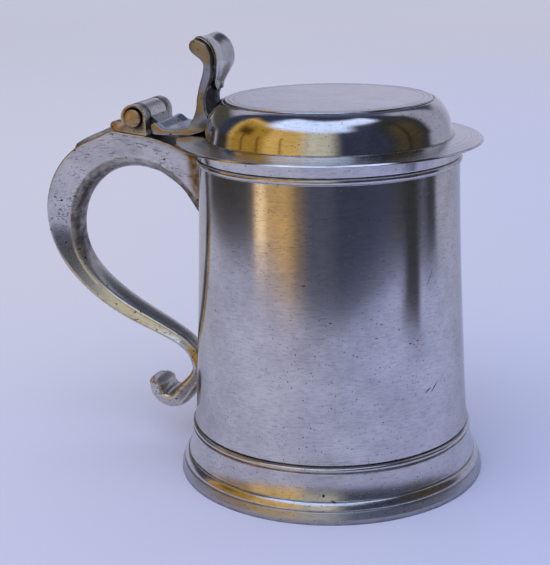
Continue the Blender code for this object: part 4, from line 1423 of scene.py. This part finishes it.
            # gold on the sides towards the foot: stain, and a painted reflection of the warm room
            tint = self.side_stain_and_reflection * ramp(bar.z, *self.side_stain_and_reflection_heights)
            points = []
            for y, out, darkening in self.section(bar, share, edge):
                reach, z = bar.reach + normal.x * out, bar.z + normal.y * out
                if out < 0 and share > self.stem_start:
                    dome = max(0.0, lid.wall_at(z) ** 2 - y * y) ** 0.5 - self.sink
                    foot = ramp(share, self.stem_start, self.stem_start + self.stem_fade)
                    reach += min(0.0, dome - reach) * foot * ramp(z, *self.foot_spread)
                points.append((-reach, y, z))
                dirt_and_shade.append(min(1.0, darkening))
                on_edge = half - edge < abs(y) < half - self.edge_skin
                stain.append(self.edge_stain if on_edge else tint * (abs(y) > half - self.side_skin))
            rings.append(points)
        mesh = skin("thumb_lever", rings, joined=False)
        paint(mesh, {Mark.DIRT_AND_SHADE: dirt_and_shade, Mark.STAIN: stain})
        return mesh

    def shield(self, hinge: Hinge, lid: Lid) -> Mesh:
        """Raised shield on the front of the head, with a point that stands clear of the stem.

        Args:
            hinge: Hinge that the leaf stops short of.
            lid: Lid that the leaf lies on.

        Returns:
            The mesh.
        """
        frames = self.frames(hinge, lid)
        first, last = (round(place * (self.sections - 1)) for place in (self.shield_start, self.shield_end))
        rings, dirt_and_shade = [], []
        for i in range(first, last + 1):
            bar, normal = frames[i]
            share = (i - first) / (last - first)
            face = -bar.depth / 2
            full = bar.width - 2 * self.shield_margin
            taper = min(1.0, share / self.taper_share) ** self.taper_power
            half = (self.shield_tip + (full - self.shield_tip) * taper) / 2
            tip = ramp(share, self.tip_share, 0.0)
            end = min(1.0, share / self.end_shares[0], (1 - share) / self.end_shares[1])
            proud = self.shield_proud
            proud += (self.neck_proud - proud) * ramp(share, *self.neck_share)
            proud += (self.tip_proud - proud) * tip
            proud *= end ** 0.5
            edge = [(half + overhang * end, face - proud * level, dark * end)
                    for level, overhang, dark in self.quirks]
            top = []
            for y in spread(0.98, -0.98, 21):
                crown = 1 - self.shield_crown * (1 - (1 - y ** 6) ** 0.5)
                dish = self.shield_dish * end * (1 - y * y) ** 2
                top.append((y * half, face - proud * crown + dish, 0.0))
            root = face + self.shield_root - self.tip_clear * tip * (1 - share)
            # its back is dark: painted shade under the point
            back = [(y * half, root, 1.0) for y in spread(-0.94, 0.94, 7)]
            ring = edge + top + mirrored(edge) + back
            rings.append([(-bar.reach - normal.x * out, y, bar.z + normal.y * out) for y, out, _ in ring])
            dirt_and_shade += [dark for _, _, dark in ring]
        mesh = skin("thumb_shield", rings, joined=False)
        paint(mesh, {Mark.DIRT_AND_SHADE: dirt_and_shade})
        return mesh

    def knuckle(self, hinge: Hinge, lid: Lid) -> Mesh:
        """Barrel between the lugs, with the neck that joins it to the leaf.

        Args:
            hinge: Hinge that the leaf stops short of.
            lid: Lid that the leaf lies on.

        Returns:
            The mesh.
        """
        pin = (hinge.pin_reach, hinge.pin_z)
        outline = arc(pin, hinge.knuckle_radius, *self.knuckle_turn, 60)
        neck = self.leaf_end(hinge) - self.leaf_end_depth / 2
        outline += [(neck, self.leaf_z(lid) + self.leaf_end_depth * share) for share in (0.2, 0.6)]
        half = hinge.length / 2 - hinge.lug_width - self.knuckle_play
        hole = circle(pin, hinge.pin_radius + hinge.play)
        mesh = plate("lid_knuckle", outline, hole, (-half, half), hinge.edge)
        # painted shade on its faces beside the lugs
        clean = half - hinge.edge * hinge.darkening_share
        paint(mesh, {Mark.DIRT_AND_SHADE: [hinge.darkening * (abs(v.co.y) / MM > clean) for v in mesh.vertices]})
        return mesh

    def build(self, hinge: Hinge, lid: Lid, cast: Material, rubbed: Material, polished: Material) -> None:
        """Build the thumbpiece, and dress its lever, shield and knuckle.

        Args:
            hinge: Hinge that it swings on.
            lid: Lid that it lifts.
            cast: Finish of the knuckle.
            rubbed: Finish of the lever.
            polished: Finish of the shield, under the thumb.
        """
        add_piece(self.lever(hinge, lid), rubbed, Body.LID, "thumbpiece")
        add_piece(self.shield(hinge, lid), polished, Body.LID)
        add_piece(self.knuckle(hinge, lid), cast, Body.LID, flat=True)


# Handle

class Rib(NamedTuple):
    """Back and inner side of the handle at one place, with its width."""

    back_reach: float
    back_z: float
    inner_reach: float
    inner_z: float
    width: float


class Spot(NamedTuple):
    """A point on the handle, and how it lies to the drum, the edges and the back."""

    reach: float
    z: float
    off_drum: float
    off_edge: float             # sideways
    down: float                 # from the back
    share: float                # of the depth
    upper: bool                 # on the part that carries the hinge


@dataclass
class ScrollHandle:
    """Scroll handle, from the upper joint on the drum over the bow to the curl at its lower end."""

    reach: float = 123.6        # back of the bow
    back_radius: float = 37.6
    inner_radius: float = 28.6
    back_bow: Point = (72.0, -40.0)       # angles between which the back is round
    inner_bow: Point = (156.0, -37.0)     # and the inner side
    inner_seat: Point = (117.0, 86.0)     # inner side opposite the hinge seat
    bow_drop: float = 0.55      # top of the round bow below the hinge seat
    arch_depth: float = 14.8    # under the hinge
    bow_depth: float = 12.0     # at the outermost point
    seat_back: float = 5.3      # hinge seat, from the pin axis towards the drum
    joint_drop: float = 7.7     # top of the upper joint below the lip
    joint_tail: float = 41.0    # lowest point of the upper joint below the lip
    joint_rise: float = 11.0    # angle at which the back rises away from the drum
    joint_steepness: float = 70.0   # and the inner side
    joint_pull: float = 9.0     # how far the handle keeps its direction at each end of the joint
    joint_sink: float = 2.4
    contact_rise: float = 16.2  # lower joint above the foot of the drum
    contact_sink: float = 0.6
    strap_depth: float = 4.8    # at the lower joint
    strap_lean: float = -96.0   # direction of the handle at the lower joint
    run_pulls: Point = (35.0, 24.0)   # back and inner side of the lower run, below the bow
    foot_pulls: Point = (15.0, 17.0)  # and above the lower joint
    bridge_pull: float = 6.0    # between the lower joint and the curl
    curl_radius: float = 6.9
    curl_depth: float = 7.4
    curl_out: float = 15.4      # centre of the curl from the drum's wall
    curl_drop: float = 10.4     # and below the lower joint
    curl_turn: Point = (-150.0, 2.0)
    curl_cap: float = 20.0      # angle that its rounded end takes up
    joint_width: float = 22.0
    bow_width: float = 18.5
    contact_width: float = 12.6
    curl_width: float = 17.5
    sections: int = 260
    edge: float = 0.7
    run_edge: float = 2.0       # rounder on the lower run and the curl
    crown: float = 0.3
    side_share: float = 0.68
    inner_share: float = 0.54
    run_share: float = 0.76     # the same on the lower run and the curl
    run_z: Point = (100.0, 62.0)      # where the section changes from one to the other
    fullness: float = 2.4
    sink: float = 0.35          # into the drum at both joints
    tail_start: float = 90.4    # reach of the tongue behind the hinge
    tail_end: float = 109.0
    tail_half: float = 10.0
    tail_rise: float = 1.4
    tail_slope: float = 2.0
    tail_edge: float = 0.8      # half of the width of its sloping sides
    bridge_leave: Point = (0.8, 1.2)    # shares of bridge_pull, for the back and the inner side
    bridge_arrive: Point = (0.7, 0.9)
    cap_shares: tuple[float, ...] = (0.45, 0.8, 0.98)   # of curl_cap, where it has ribs
    upper_drop: float = 30.0    # below the lip, where the part that carries the hinge ends
    edge_fade: Point = (0.9, 1.6)       # how far stain spreads from an edge, sideways and down
    edge_stain: Point = (0.3, 0.6)      # on that part, and added beside the hinge
    edge_run: float = 8.0       # from the pin to where it is all added
    joint_stain: float = 1.5
    joint_dirt: Point = (0.8, 0.5)      # in the seam, and where the joint is stained
    joint_seam: Point = (1.2, 0.3)      # distances from the drum between which its dirt grows
    joint_reach: Point = (8.0, 2.0)     # and the stain
    joint_heights: Point = (104.0, 122.0)
    run_heights: Point = (94.0, 56.0)   # between which the polished lower run starts
    foot_heights: Point = (34.0, 40.0)  # and ends
    # gold on the flank of the polished lower run: a painted reflection of the warm room
    run_gold_reflection: float = 0.22
    inner_fade: float = 0.06    # share of the depth over which the inner side starts
    inner_heights: Point = (140.0, 115.0)       # between which its dirt and painted dark reflection start
    inner_dirt_and_dark_reflection: Point = (0.2, 0.55)     # dirt and a painted dark reflection of the room: on the lower run, and added on the bow
    inner_change: Point = (75.0, 90.0)  # heights between the two
    curl_heights: Point = (31.0, 27.0)  # between which the hollow of the curl starts
    curl_reach: Point = (60.0, 64.0)
    curl_skin: float = 0.2      # points this near to the back belong to it
    curl_stain: float = 0.12
    # dirt and painted shade in the hollow of the curl
    curl_dirt_and_shade: float = 0.25
    curl_polish: float = 0.8

    def ribs(self, vessel: Vessel, hinge: Hinge) -> list[Rib]:
        """Course of the handle from the upper joint to the end of the curl.

        Args:
            vessel: Vessel that it is soldered to.
            hinge: Hinge that sits on it.

        Returns:
            Ribs along the handle.
        """
        top = hinge.seat(hinge.pin_reach) - self.bow_drop
        back = (self.reach - self.back_radius, top - self.back_radius)
        inner = (self.reach - self.bow_depth - self.inner_radius, top - self.arch_depth - self.inner_radius)
        high, low = vessel.lip_z - self.joint_drop, vessel.lip_z - self.joint_tail
        seat = [(r, hinge.seat(r))
                for r in (hinge.pin_reach - self.seat_back, hinge.pin_reach + hinge.toe_reach)]
        contact = vessel.drum_z + self.contact_rise
        wall = vessel.radius_at(contact)
        curl = (wall + self.curl_out, contact - self.curl_drop)
        thin, wide = self.curl_radius - self.curl_depth / 2, self.curl_radius + self.curl_depth / 2
        curling = self.curl_turn[0] + 90

        back_joint = swoop((vessel.radius_at(high) - self.joint_sink, high),
                           (self.joint_pull, self.joint_rise), (self.joint_pull, hinge.seat_tilt), seat[0])
        inner_joint = swoop((vessel.radius_at(low) - self.joint_sink, low),
                            (self.joint_pull / 2, self.joint_steepness),
                            (self.joint_pull / 2, self.inner_bow[0] - 90),
                            polar(inner, self.inner_radius, self.inner_bow[0]))
        inner_joint += arc(inner, self.inner_radius, self.inner_bow[0], self.inner_seat[0], 6)[1:]
        back_bow = seat[1:] + arc(back, self.back_radius, *self.back_bow, 30)
        inner_bow = arc(inner, self.inner_radius, self.inner_seat[1], self.inner_bow[1], 30)
        feet = ((wall + self.strap_depth, contact), (wall - self.contact_sink, contact))
        runs = [swoop(bow[-1], (pull, angle - 90), (foot_pull, self.strap_lean), foot)
                for bow, pull, angle, foot_pull, foot in zip(
                    (back_bow, inner_bow), self.run_pulls, (self.back_bow[1], self.inner_bow[1]),
                    self.foot_pulls, feet)]
        bridges = [swoop(foot, (self.bridge_pull * leave, self.strap_lean),
                         (self.bridge_pull * arrive, curling), polar(curl, radius, self.curl_turn[0]))
                   for foot, leave, arrive, radius in zip(feet, self.bridge_leave, self.bridge_arrive,
                                                      (thin, wide))]

        ribs = []
        for back_line, inner_line, count, first, last in (
                (back_joint, inner_joint, 4, self.joint_width, hinge.length),
                (seat, arc(inner, self.inner_radius, *self.inner_seat, 9), 4, hinge.length, hinge.length),
                (back_bow, inner_bow, 15, hinge.length, self.bow_width),
                (*runs, 12, self.bow_width, self.contact_width),
                (*bridges, 5, self.contact_width, self.curl_width),
                (*[arc(curl, radius, *self.curl_turn, 30) for radius in (thin, wide)], 6,
                 self.curl_width, self.curl_width)):
            for i, (b, n) in enumerate(zip(even(back_line, count), even(inner_line, count))):
                if i or not ribs:
                    ribs.append(Rib(*b, *n, first + (last - first) * ease(i / (count - 1))))
        for share in self.cap_shares:
            half = self.curl_depth / 2 * (1 - share ** 2) ** 0.5
            sides = [polar(curl, self.curl_radius + side * half, self.curl_turn[1] + self.curl_cap * share)
                     for side in (-1, 1)]
            ribs.append(Rib(*sides[0], *sides[1], self.curl_width * (0.5 + half / self.curl_depth)))
        return ribs

    def section(self, rib: Rib) -> Line:
        """Section of the handle at a rib.

        Args:
            rib: The rib.

        Returns:
            Points of (distance sideways, distance down from the back).
        """
        half = rib.width / 2
        depth = hypot(rib.inner_reach - rib.back_reach, rib.inner_z - rib.back_z)
        low = ramp(rib.back_z, *self.run_z)
        edge = min(self.edge + (self.run_edge - self.edge) * low, depth * self.side_share / 2)
        crown = min(self.crown, edge)
        side = depth * self.side_share
        flat = half - edge
        waist = half * (self.inner_share + (self.run_share - self.inner_share) * low)
        back = [(y, -crown * (1 - (y / flat) ** 2)) for y in spread(-flat, flat, 33)]
        corner = [(flat + edge * sin(a), edge - edge * cos(a)) for a in spread(0.0, pi / 2, 8)[1:]]
        flank = [(half + (waist - half) * t, edge + (side - edge) * t) for t in spread(0.0, 1.0, 9)[1:]]
        inner = [(waist * x, side + (depth - side) * t)
                 for x, t in oval(self.fullness, 0.0, 180.0, 25)[1:-1]]
        return back + corner + flank + inner + mirrored(corner + flank)

    def marks(self, spot: Spot, hinge: Hinge) -> dict[Mark, float]:
        """Stain, dirt, painted shade and reflection, and polish at a point of the handle.

        Args:
            spot: The point.
            hinge: Hinge that sits on the handle.

        Returns:
            The value of each mark.
        """
        z = spot.z
        by_edge = exp(-(spot.off_edge / self.edge_fade[0]) ** 2 - max(0.0, spot.down) / self.edge_fade[1])
        by_hinge = ramp(spot.reach, hinge.pin_reach, hinge.pin_reach - self.edge_run)
        by_drum = spot.upper * ramp(spot.off_drum, *self.joint_reach) * ramp(z, *self.joint_heights)
        below = ramp(z, *self.run_heights) * ramp(z, *self.foot_heights)
        inside = ramp(spot.share, self.side_share, self.side_share + self.inner_fade)
        inside *= ramp(z, *self.inner_heights) * ramp(z, *self.foot_heights)
        in_curl = ramp(z, *self.curl_heights) * ramp(spot.reach, *self.curl_reach)
        in_curl *= spot.down <= self.curl_skin
        edge_stain = spot.upper * by_edge * (self.edge_stain[0] + self.edge_stain[1] * by_hinge)
        # inner side darkened: dirt, and a painted dark reflection of the room
        inner_dirt_and_dark_reflection = inside * (self.inner_dirt_and_dark_reflection[0] + self.inner_dirt_and_dark_reflection[1] * ramp(z, *self.inner_change))
        return {
            # on the lower run's flank the stain is a painted gold reflection; in the curl's hollow the dirt
            # is partly painted shade
            Mark.STAIN: min(1.0, edge_stain + self.joint_stain * by_drum
                            + self.run_gold_reflection * below * (1 - inside) + self.curl_stain * in_curl),
            Mark.DIRT_AND_SHADE: max(self.joint_dirt[0] * ramp(spot.off_drum, *self.joint_seam),
                           self.joint_dirt[1] * by_drum ** 2, self.curl_dirt_and_shade * in_curl, inner_dirt_and_dark_reflection),
            Mark.WEAR: max(below, self.curl_polish * in_curl),
        }

    def mesh(self, vessel: Vessel, hinge: Hinge) -> Mesh:
        """The handle, let into the drum at its joints.

        Args:
            vessel: Vessel that it is soldered to.
            hinge: Hinge that sits on it.

        Returns:
            The mesh.
        """
        rings = []
        marks = {mark: [] for mark in Mark}
        for values in through(self.ribs(vessel, hinge), self.sections):
            rib = Rib(*values)
            toward = Vector((rib.inner_reach - rib.back_reach, rib.inner_z - rib.back_z))
            depth = toward.length
            toward /= depth
            upper = rib.back_z > vessel.lip_z - self.upper_drop
            on_tail = min(rib.back_reach - self.tail_start, self.tail_end - rib.back_reach) * upper
            tail = self.tail_rise * ramp(on_tail, 0.0, self.tail_slope)
            ring = []
            for y, down in self.section(rib):
                if down <= 0:
                    down -= tail * ramp(self.tail_half - abs(y), -self.tail_edge, self.tail_edge)
                reach, z = rib.back_reach + toward.x * down, rib.back_z + toward.y * down
                wall = vessel.radius_at(z) - self.sink
                out = hypot(reach, y)
                push = max(1.0, wall / out)
                ring.append((-reach * push, y * push, z))
                spot = Spot(reach, z, out - wall, abs(y) - rib.width / 2, down, down / depth, upper)
                for mark, value in self.marks(spot, hinge).items():
                    marks[mark].append(value)
            rings.append(ring)
        mesh = skin("scroll_handle", rings, joined=False)
        paint(mesh, marks)
        return mesh

    def build(self, vessel: Vessel, hinge: Hinge, cast: Material) -> None:
        """Build the handle and dress it in its finish."""
        add_piece(self.mesh(vessel, hinge), cast, Body.VESSEL, "handle")


# Studio

@dataclass(frozen=True)
class Card:
    """A part of the room round the tankard, by direction seen from it.

    Azimuth 0 is towards the camera and grows to the camera's right.
    """

    colour: str
    azimuth: Point
    elevation: Point
    soft: Point                 # half of the width of its blurred edges, sideways and upwards
    strength: float = 1.0


@dataclass
class Studio:
    """Pale table, soft light, and a room whose dark front and warm left show in the metal."""

    turn: float = 17.0          # camera's place round the drum's axis
    yaw: float = -2.52
    pitch: float = 16.16
    roll: float = -1.17
    focal_pixels: float = 1293.0
    distance: float = 512.0
    height: float = 227.0
    table_size: float = 12000.0
    table: str = "#CACEE9"
    table_mid: str = "#CDCFDE"
    table_mid_run: Point = (-100.0, 300.0)  # where it changes to that, away from the camera
    table_far: str = "#C7C7D1"
    table_far_run: Point = (500.0, 2000.0)  # and to that, from the tankard
    table_lit_left: str = "#FDFCF9"     # painted shade: the table is lighter on the left and darker to the right
    table_shaded_right: str = "#F1F5FF"
    table_shade_half: float = 200.0
    table_grain: float = 60.0   # size of its faint clouds
    table_grain_range: Point = (0.97, 1.02)
    backdrop: str = "#C2C4D8"
    sheet_half: float = 485.0   # the pale sheet as the metal mirrors it, either side
    sheet_shift: float = 22.0   # and how far it lies to the left
    sheet_front: float = 378.0  # and towards the camera
    sheet_power: float = 3.3    # how square its corners are
    sheet_fade: Point = (0.75, 1.3)     # shares of its size between which it ends
    block: tuple[float, float, float] = (313.0, -203.0, -88.0)  # dark gap in it: from x, and two y
    block_soft: float = 20.0
    light_strength: float = 2.15
    light_spread: float = 150.0
    light_tilt: Point = (26.0, -18.0)
    fill: str = "#BEC0DA"
    zenith: str = "#5C6288"
    zenith_run: Point = (44.0, 60.0)    # elevations between which the fill changes to it
    cards: tuple[Card, ...] = (
        Card("#AFB3CD", (104, 150), (-30, 58), (6, 8)),
        Card("#54534E", (-172, -116), (4, 30), (8, 6)),
        Card("#4E5468", (136, 170), (23, 62), (5, 5)),
        Card("#3C4259", (-124, 104), (-60, 95), (4, 5)),
        Card("#515569", (-26, 4), (-60, -4), (8, 4)),
        Card("#3D3B38", (-122, -66), (-60, 6), (5, 4)),
        Card("#E6BF70", (-106, -58), (4, 48), (5, 4)),
        Card("#E6BF70", (-66, -20), (-2, 48), (5, 3)),
        Card("#B58E3E", (-101, -62), (3, 42), (5, 4)),
        Card("#54401C", (-97, -80), (20, 33), (5, 5)),
        Card("#5E4720", (-88, -86), (2, 24), (1.5, 3)),
        Card("#6E5222", (-70, -68), (2, 22), (1.5, 3)),
        Card("#8A6A34", (-46, -44), (2, 26), (1.5, 3)),
        Card("#DDDBCC", (-24, 6), (6, 48), (9, 4)),
        Card("#A08660", (-68, -24), (-60, -6), (10, 3)),
        Card("#D8B070", (-60, -33), (-60, -6), (7, 3), 1.05),
        Card("#F6D6A4", (-66, -56), (-60, -6), (4, 2), 1.4),
        Card("#3B3D41", (56, 101), (-60, 60), (8, 8)),
        Card("#3B3D41", (86, 109), (5, 50), (5, 5)),
        Card("#554A38", (66, 96), (6, 40), (8, 6)),
        Card("#34302B", (78, 81), (2, 44), (2, 4)),
        Card("#5E6272", (83, 92), (-60, -4), (4, 3)),
        Card("#C0D4FF", (-74, 26), (44, 72), (12, 4), 1.9),
        Card("#C6D6FF", (20, 74), (56, 72), (8, 4), 1.9),
    )

    def camera(self, foot: Vector) -> None:
        """Put the camera where the photograph was taken from.

        Args:
            foot: Foot of the drum's axis, in metres.
        """
        yaw, pitch, roll = radians(self.yaw), radians(self.pitch), radians(self.roll)
        right = Vector((cos(yaw), -sin(yaw), 0.0))
        up = Vector((sin(yaw) * sin(pitch), cos(yaw) * sin(pitch), cos(pitch)))
        forward = Vector((sin(yaw) * cos(pitch), cos(yaw) * cos(pitch), -sin(pitch)))
        across = right * cos(roll) + up * sin(roll)
        above = up * cos(roll) - right * sin(roll)
        turn = Matrix.Rotation(radians(self.turn), 3, "Z")
        facing = (turn @ Matrix((across, above, -forward)).transposed()).to_4x4()
        place = turn @ Vector((0.0, -self.distance, self.height)) * MM + foot
        data = bpy.data.cameras.new("camera")
        data.sensor_fit = "HORIZONTAL"
        data.lens = self.focal_pixels / PHOTO_WIDTH * data.sensor_width
        camera = stand("camera", data)
        camera.matrix_world = Matrix.Translation(place) @ facing
        bpy.context.scene.camera = camera

    def floor(self, foot: Vector) -> None:
        """Lay the table.

        Args:
            foot: Foot of the drum's axis, in metres.
        """
        half = self.table_size / 2 * MM
        mesh = bpy.data.meshes.new("table")
        mesh.from_pydata([(-half, -half, 0), (half, -half, 0), (half, half, 0), (-half, half, 0)],
                         [], [(0, 1, 2, 3)])
        table = stand("table", mesh)
        table.matrix_world = Matrix.Translation(foot) @ Matrix.Rotation(radians(self.turn), 4, "Z")
        mesh.materials.append(self.paper())

    def paper(self) -> Material:
        """Matt paper, pale and without gloss, with painted shade that darkens it to the right; beyond its
        sheet the metal mirrors the room instead.

        Returns:
            The material.
        """
        material = bpy.data.materials.new("paper_sheet_matt")
        tree = blank(material)
        place = add(tree, "TexCoord").node.outputs["Object"]
        away = add(tree, "VectorMath", {0: place}, operation="LENGTH").node.outputs["Value"]
        x, y, _ = add(tree, "SeparateXYZ", {0: place}).node.outputs
        across, back, out = (step(tree, value, low * MM, high * MM) for value, (low, high) in (
            (x, (-self.table_shade_half, self.table_shade_half)), (y, self.table_mid_run),
            (away, self.table_far_run)))
        # painted shade: darker from left to right across the table
        tint = add(tree, "Mix", {0: across, 6: linear(self.table_lit_left), 7: linear(self.table_shaded_right)},
                   data_type="RGBA")
        grain = add(tree, "TexNoise", {"Scale": 1 / (self.table_grain * MM), "Detail": 3.0})
        grain = add(tree, "MapRange", {"Value": grain, "To Min": self.table_grain_range[0],
                                       "To Max": self.table_grain_range[1]})
        colour = linear(self.table)
        for share, blend, shade in ((back, "MIX", linear(self.table_mid)), (1.0, "MULTIPLY", tint),
                                    (out, "MIX", linear(self.table_far)), (1.0, "MULTIPLY", grain)):
            colour = add(tree, "Mix", {0: share, 6: colour, 7: shade}, data_type="RGBA", blend_type=blend)
        matt = add(tree, "BsdfDiffuse", {"Color": colour})
        clear = add(tree, "BsdfTransparent")
        glossy = add(tree, "LightPath").node.outputs["Is Glossy Ray"]
        share = add(tree, "Math", {0: self.beyond(tree, x, y), 1: glossy}, operation="MULTIPLY")
        surface = add(tree, "MixShader", {0: share, 1: matt, 2: clear})
        add(tree, "OutputMaterial", {"Surface": surface})
        return material

    def beyond(self, tree: NodeTree, x: NodeSocket, y: NodeSocket) -> NodeSocket:
        """Where the table lies beyond the sheet that the metal mirrors, or in its dark gap.

        Args:
            tree: Node tree of the paper.
            x: Place to the camera's right, in metres from the drum's axis.
            y: Place away from the camera, likewise.

        Returns:
            A share that is 1 beyond the sheet.
        """
        sideways = add(tree, "Math", {0: x, 1: self.sheet_shift * MM}, operation="ADD")
        sideways = add(tree, "Math", {0: sideways}, operation="ABSOLUTE")
        sideways = add(tree, "Math", {0: sideways, 1: self.sheet_half * MM}, operation="DIVIDE")
        ahead = add(tree, "Math", {0: y, 1: -self.sheet_front * MM}, operation="DIVIDE")
        ahead = add(tree, "Math", {0: ahead, 1: 0.0}, operation="MAXIMUM")
        sideways, ahead = (add(tree, "Math", {0: part, 1: self.sheet_power}, operation="POWER")
                           for part in (sideways, ahead))
        outside = add(tree, "Math", {0: sideways, 1: ahead}, operation="ADD")
        outside = step(tree, outside, *self.sheet_fade)
        start, front, back = (limit * MM for limit in self.block)
        soft = self.block_soft * MM
        gap = step(tree, x, start - soft, start + soft)
        for low, high in ((front - soft, front + soft), (back + soft, back - soft)):
            gap = add(tree, "Math", {0: gap, 1: step(tree, y, low, high)}, operation="MULTIPLY")
        return add(tree, "Math", {0: outside, 1: gap}, operation="MAXIMUM")

    def world(self) -> None:
        """Plain backdrop for the camera, and the room for light and reflections."""
        world = bpy.data.worlds.new("studio")
        tree = blank(world)
        bpy.context.scene.world = world
        look = add(tree, "TexCoord").node.outputs["Generated"]
        look = add(tree, "VectorRotate", {"Vector": look, "Angle": -radians(self.turn)},
                   rotation_type="Z_AXIS")
        x, y, z = add(tree, "SeparateXYZ", {0: look}).node.outputs
        ahead = add(tree, "Math", {0: y, 1: -1.0}, operation="MULTIPLY")
        azimuth = add(tree, "Math", {0: x, 1: ahead}, operation="ARCTAN2")
        elevation = add(tree, "Math", {0: z}, operation="ARCSINE")
        azimuth, elevation = (add(tree, "Math", {0: angle}, operation="DEGREES")
                              for angle in (azimuth, elevation))

        top = step(tree, elevation, *self.zenith_run)
        room = add(tree, "Mix", {0: top, 6: linear(self.fill), 7: linear(self.zenith)}, data_type="RGBA")
        for card in self.cards:
            share = 1.0
            for angle, limits, soft in ((azimuth, card.azimuth, card.soft[0]),
                                        (elevation, card.elevation, card.soft[1])):
                for limit, sign in zip(limits, (1, -1)):
                    edge = step(tree, angle, limit - sign * soft, limit + sign * soft)
                    share = add(tree, "Math", {0: edge, 1: share}, operation="MULTIPLY")
            colour = [part * card.strength for part in linear(card.colour)[:3]] + [1.0]
            room = add(tree, "Mix", {0: share, 6: room, 7: colour}, data_type="RGBA")

        seen = add(tree, "LightPath").node.outputs["Is Camera Ray"]
        colour = add(tree, "Mix", {0: seen, 6: room, 7: linear(self.backdrop)}, data_type="RGBA")
        surface = add(tree, "Background", {"Color": colour})
        add(tree, "OutputWorld", {"Surface": surface})

    def lamp(self) -> None:
        """Broad soft light from above, in front and to the left, kept out of the reflections."""
        data = bpy.data.lights.new("soft_light", "SUN")
        data.energy = self.light_strength
        data.angle = radians(self.light_spread)
        lamp = stand("soft_light", data)
        lamp.rotation_euler = [radians(angle) for angle in (*self.light_tilt, self.turn)]
        lamp.visible_glossy = False

    def build(self) -> None:
        """Set up the camera, table, room and light."""
        foot = drum_foot()
        self.camera(foot)
        self.floor(foot)
        self.world()
        self.lamp()
        bpy.context.scene.view_settings.view_transform = "Standard"


# Assembly

# Scratches and dents of this tankard
DRUM_NICKS = (
    Nick(59.9, 46.4, 55.5, 4.8, 0.7, 24.0), Nick(63.5, 46.7, 55.5, 6.4, 0.7, 41.0),
    Nick(62.3, 90.7, 53.4, 10.0, 0.3, 61.0), Nick(6.5, 92.1, 53.4, 1.5, 0.6),
    Nick(17.2, 78.1, 53.9, 1.8, 0.5), Nick(35.7, 71.2, 54.3, 1.6, 0.5),
    Nick(51.1, 67.0, 54.5, 1.8, 0.6), Nick(54.7, 67.5, 54.4, 1.3, 0.6),
    Nick(-38.9, 76.1, 54.0, 1.2, 0.8))
FOOT_NICKS = (Nick(14.1, 10.5, 59.8, 1.4, 1.6), Nick(17.7, 8.4, 60.6, 2.8, 0.7, -20.0))


def main() -> None:
    """Build the studio and each sub-assembly."""
    logging.basicConfig(level=logging.INFO, format="%(name)s: %(message)s")
    Studio().build()

    burnished = TurnedPewter("pewter_turned_burnished", roughness=0.09, dull_roughness=0.02, pit_share=0.4,
                             pit_radius=0.4, wear_roughness=0.09, worn="#D8D6D4").material()
    skimmed = TurnedPewter("pewter_turned_skimmed", grazing=0.75, nicks=DRUM_NICKS).material()
    worn = TurnedPewter("pewter_turned_worn", roughness=0.19, pit_share=0.85, pit_spacing=1.4,
                        speck_strength=0.75, wear_roughness=0.12, worn="#B6B5B6",
                        nicks=FOOT_NICKS).material()
    dull = TurnedPewter("pewter_turned_dull", metal="#A3A2A0", dull="#858483", roughness=0.38).material()
    cast = CastPewter("pewter_cast_filed").material()
    rubbed = CastPewter("pewter_cast_rubbed", metal="#AEB3BB", dull="#9B9FA5", stroke_strength=0.25,
                        roughness=0.22, stain_least=0.9).material()
    polished = CastPewter("pewter_cast_polished", metal="#CCC8C2", dull="#AFACA6", stroke_strength=0.2,
                          roughness=0.16, dull_roughness=0.04, speck_strength=0.2,
                          pit_share=0.5).material()
    brass = TarnishedBrass("brass_drawn_tarnished").material()

    vessel, lid, hinge = Vessel(), Lid(), Hinge()
    vessel.build(skimmed, worn, dull)
    lid.build(burnished, dull)
    ScrollHandle().build(vessel, hinge, cast)
    hinge.build(cast, brass)
    Thumbpiece().build(hinge, lid, cast, rubbed, polished)


if __name__ == "__main__":
    main()
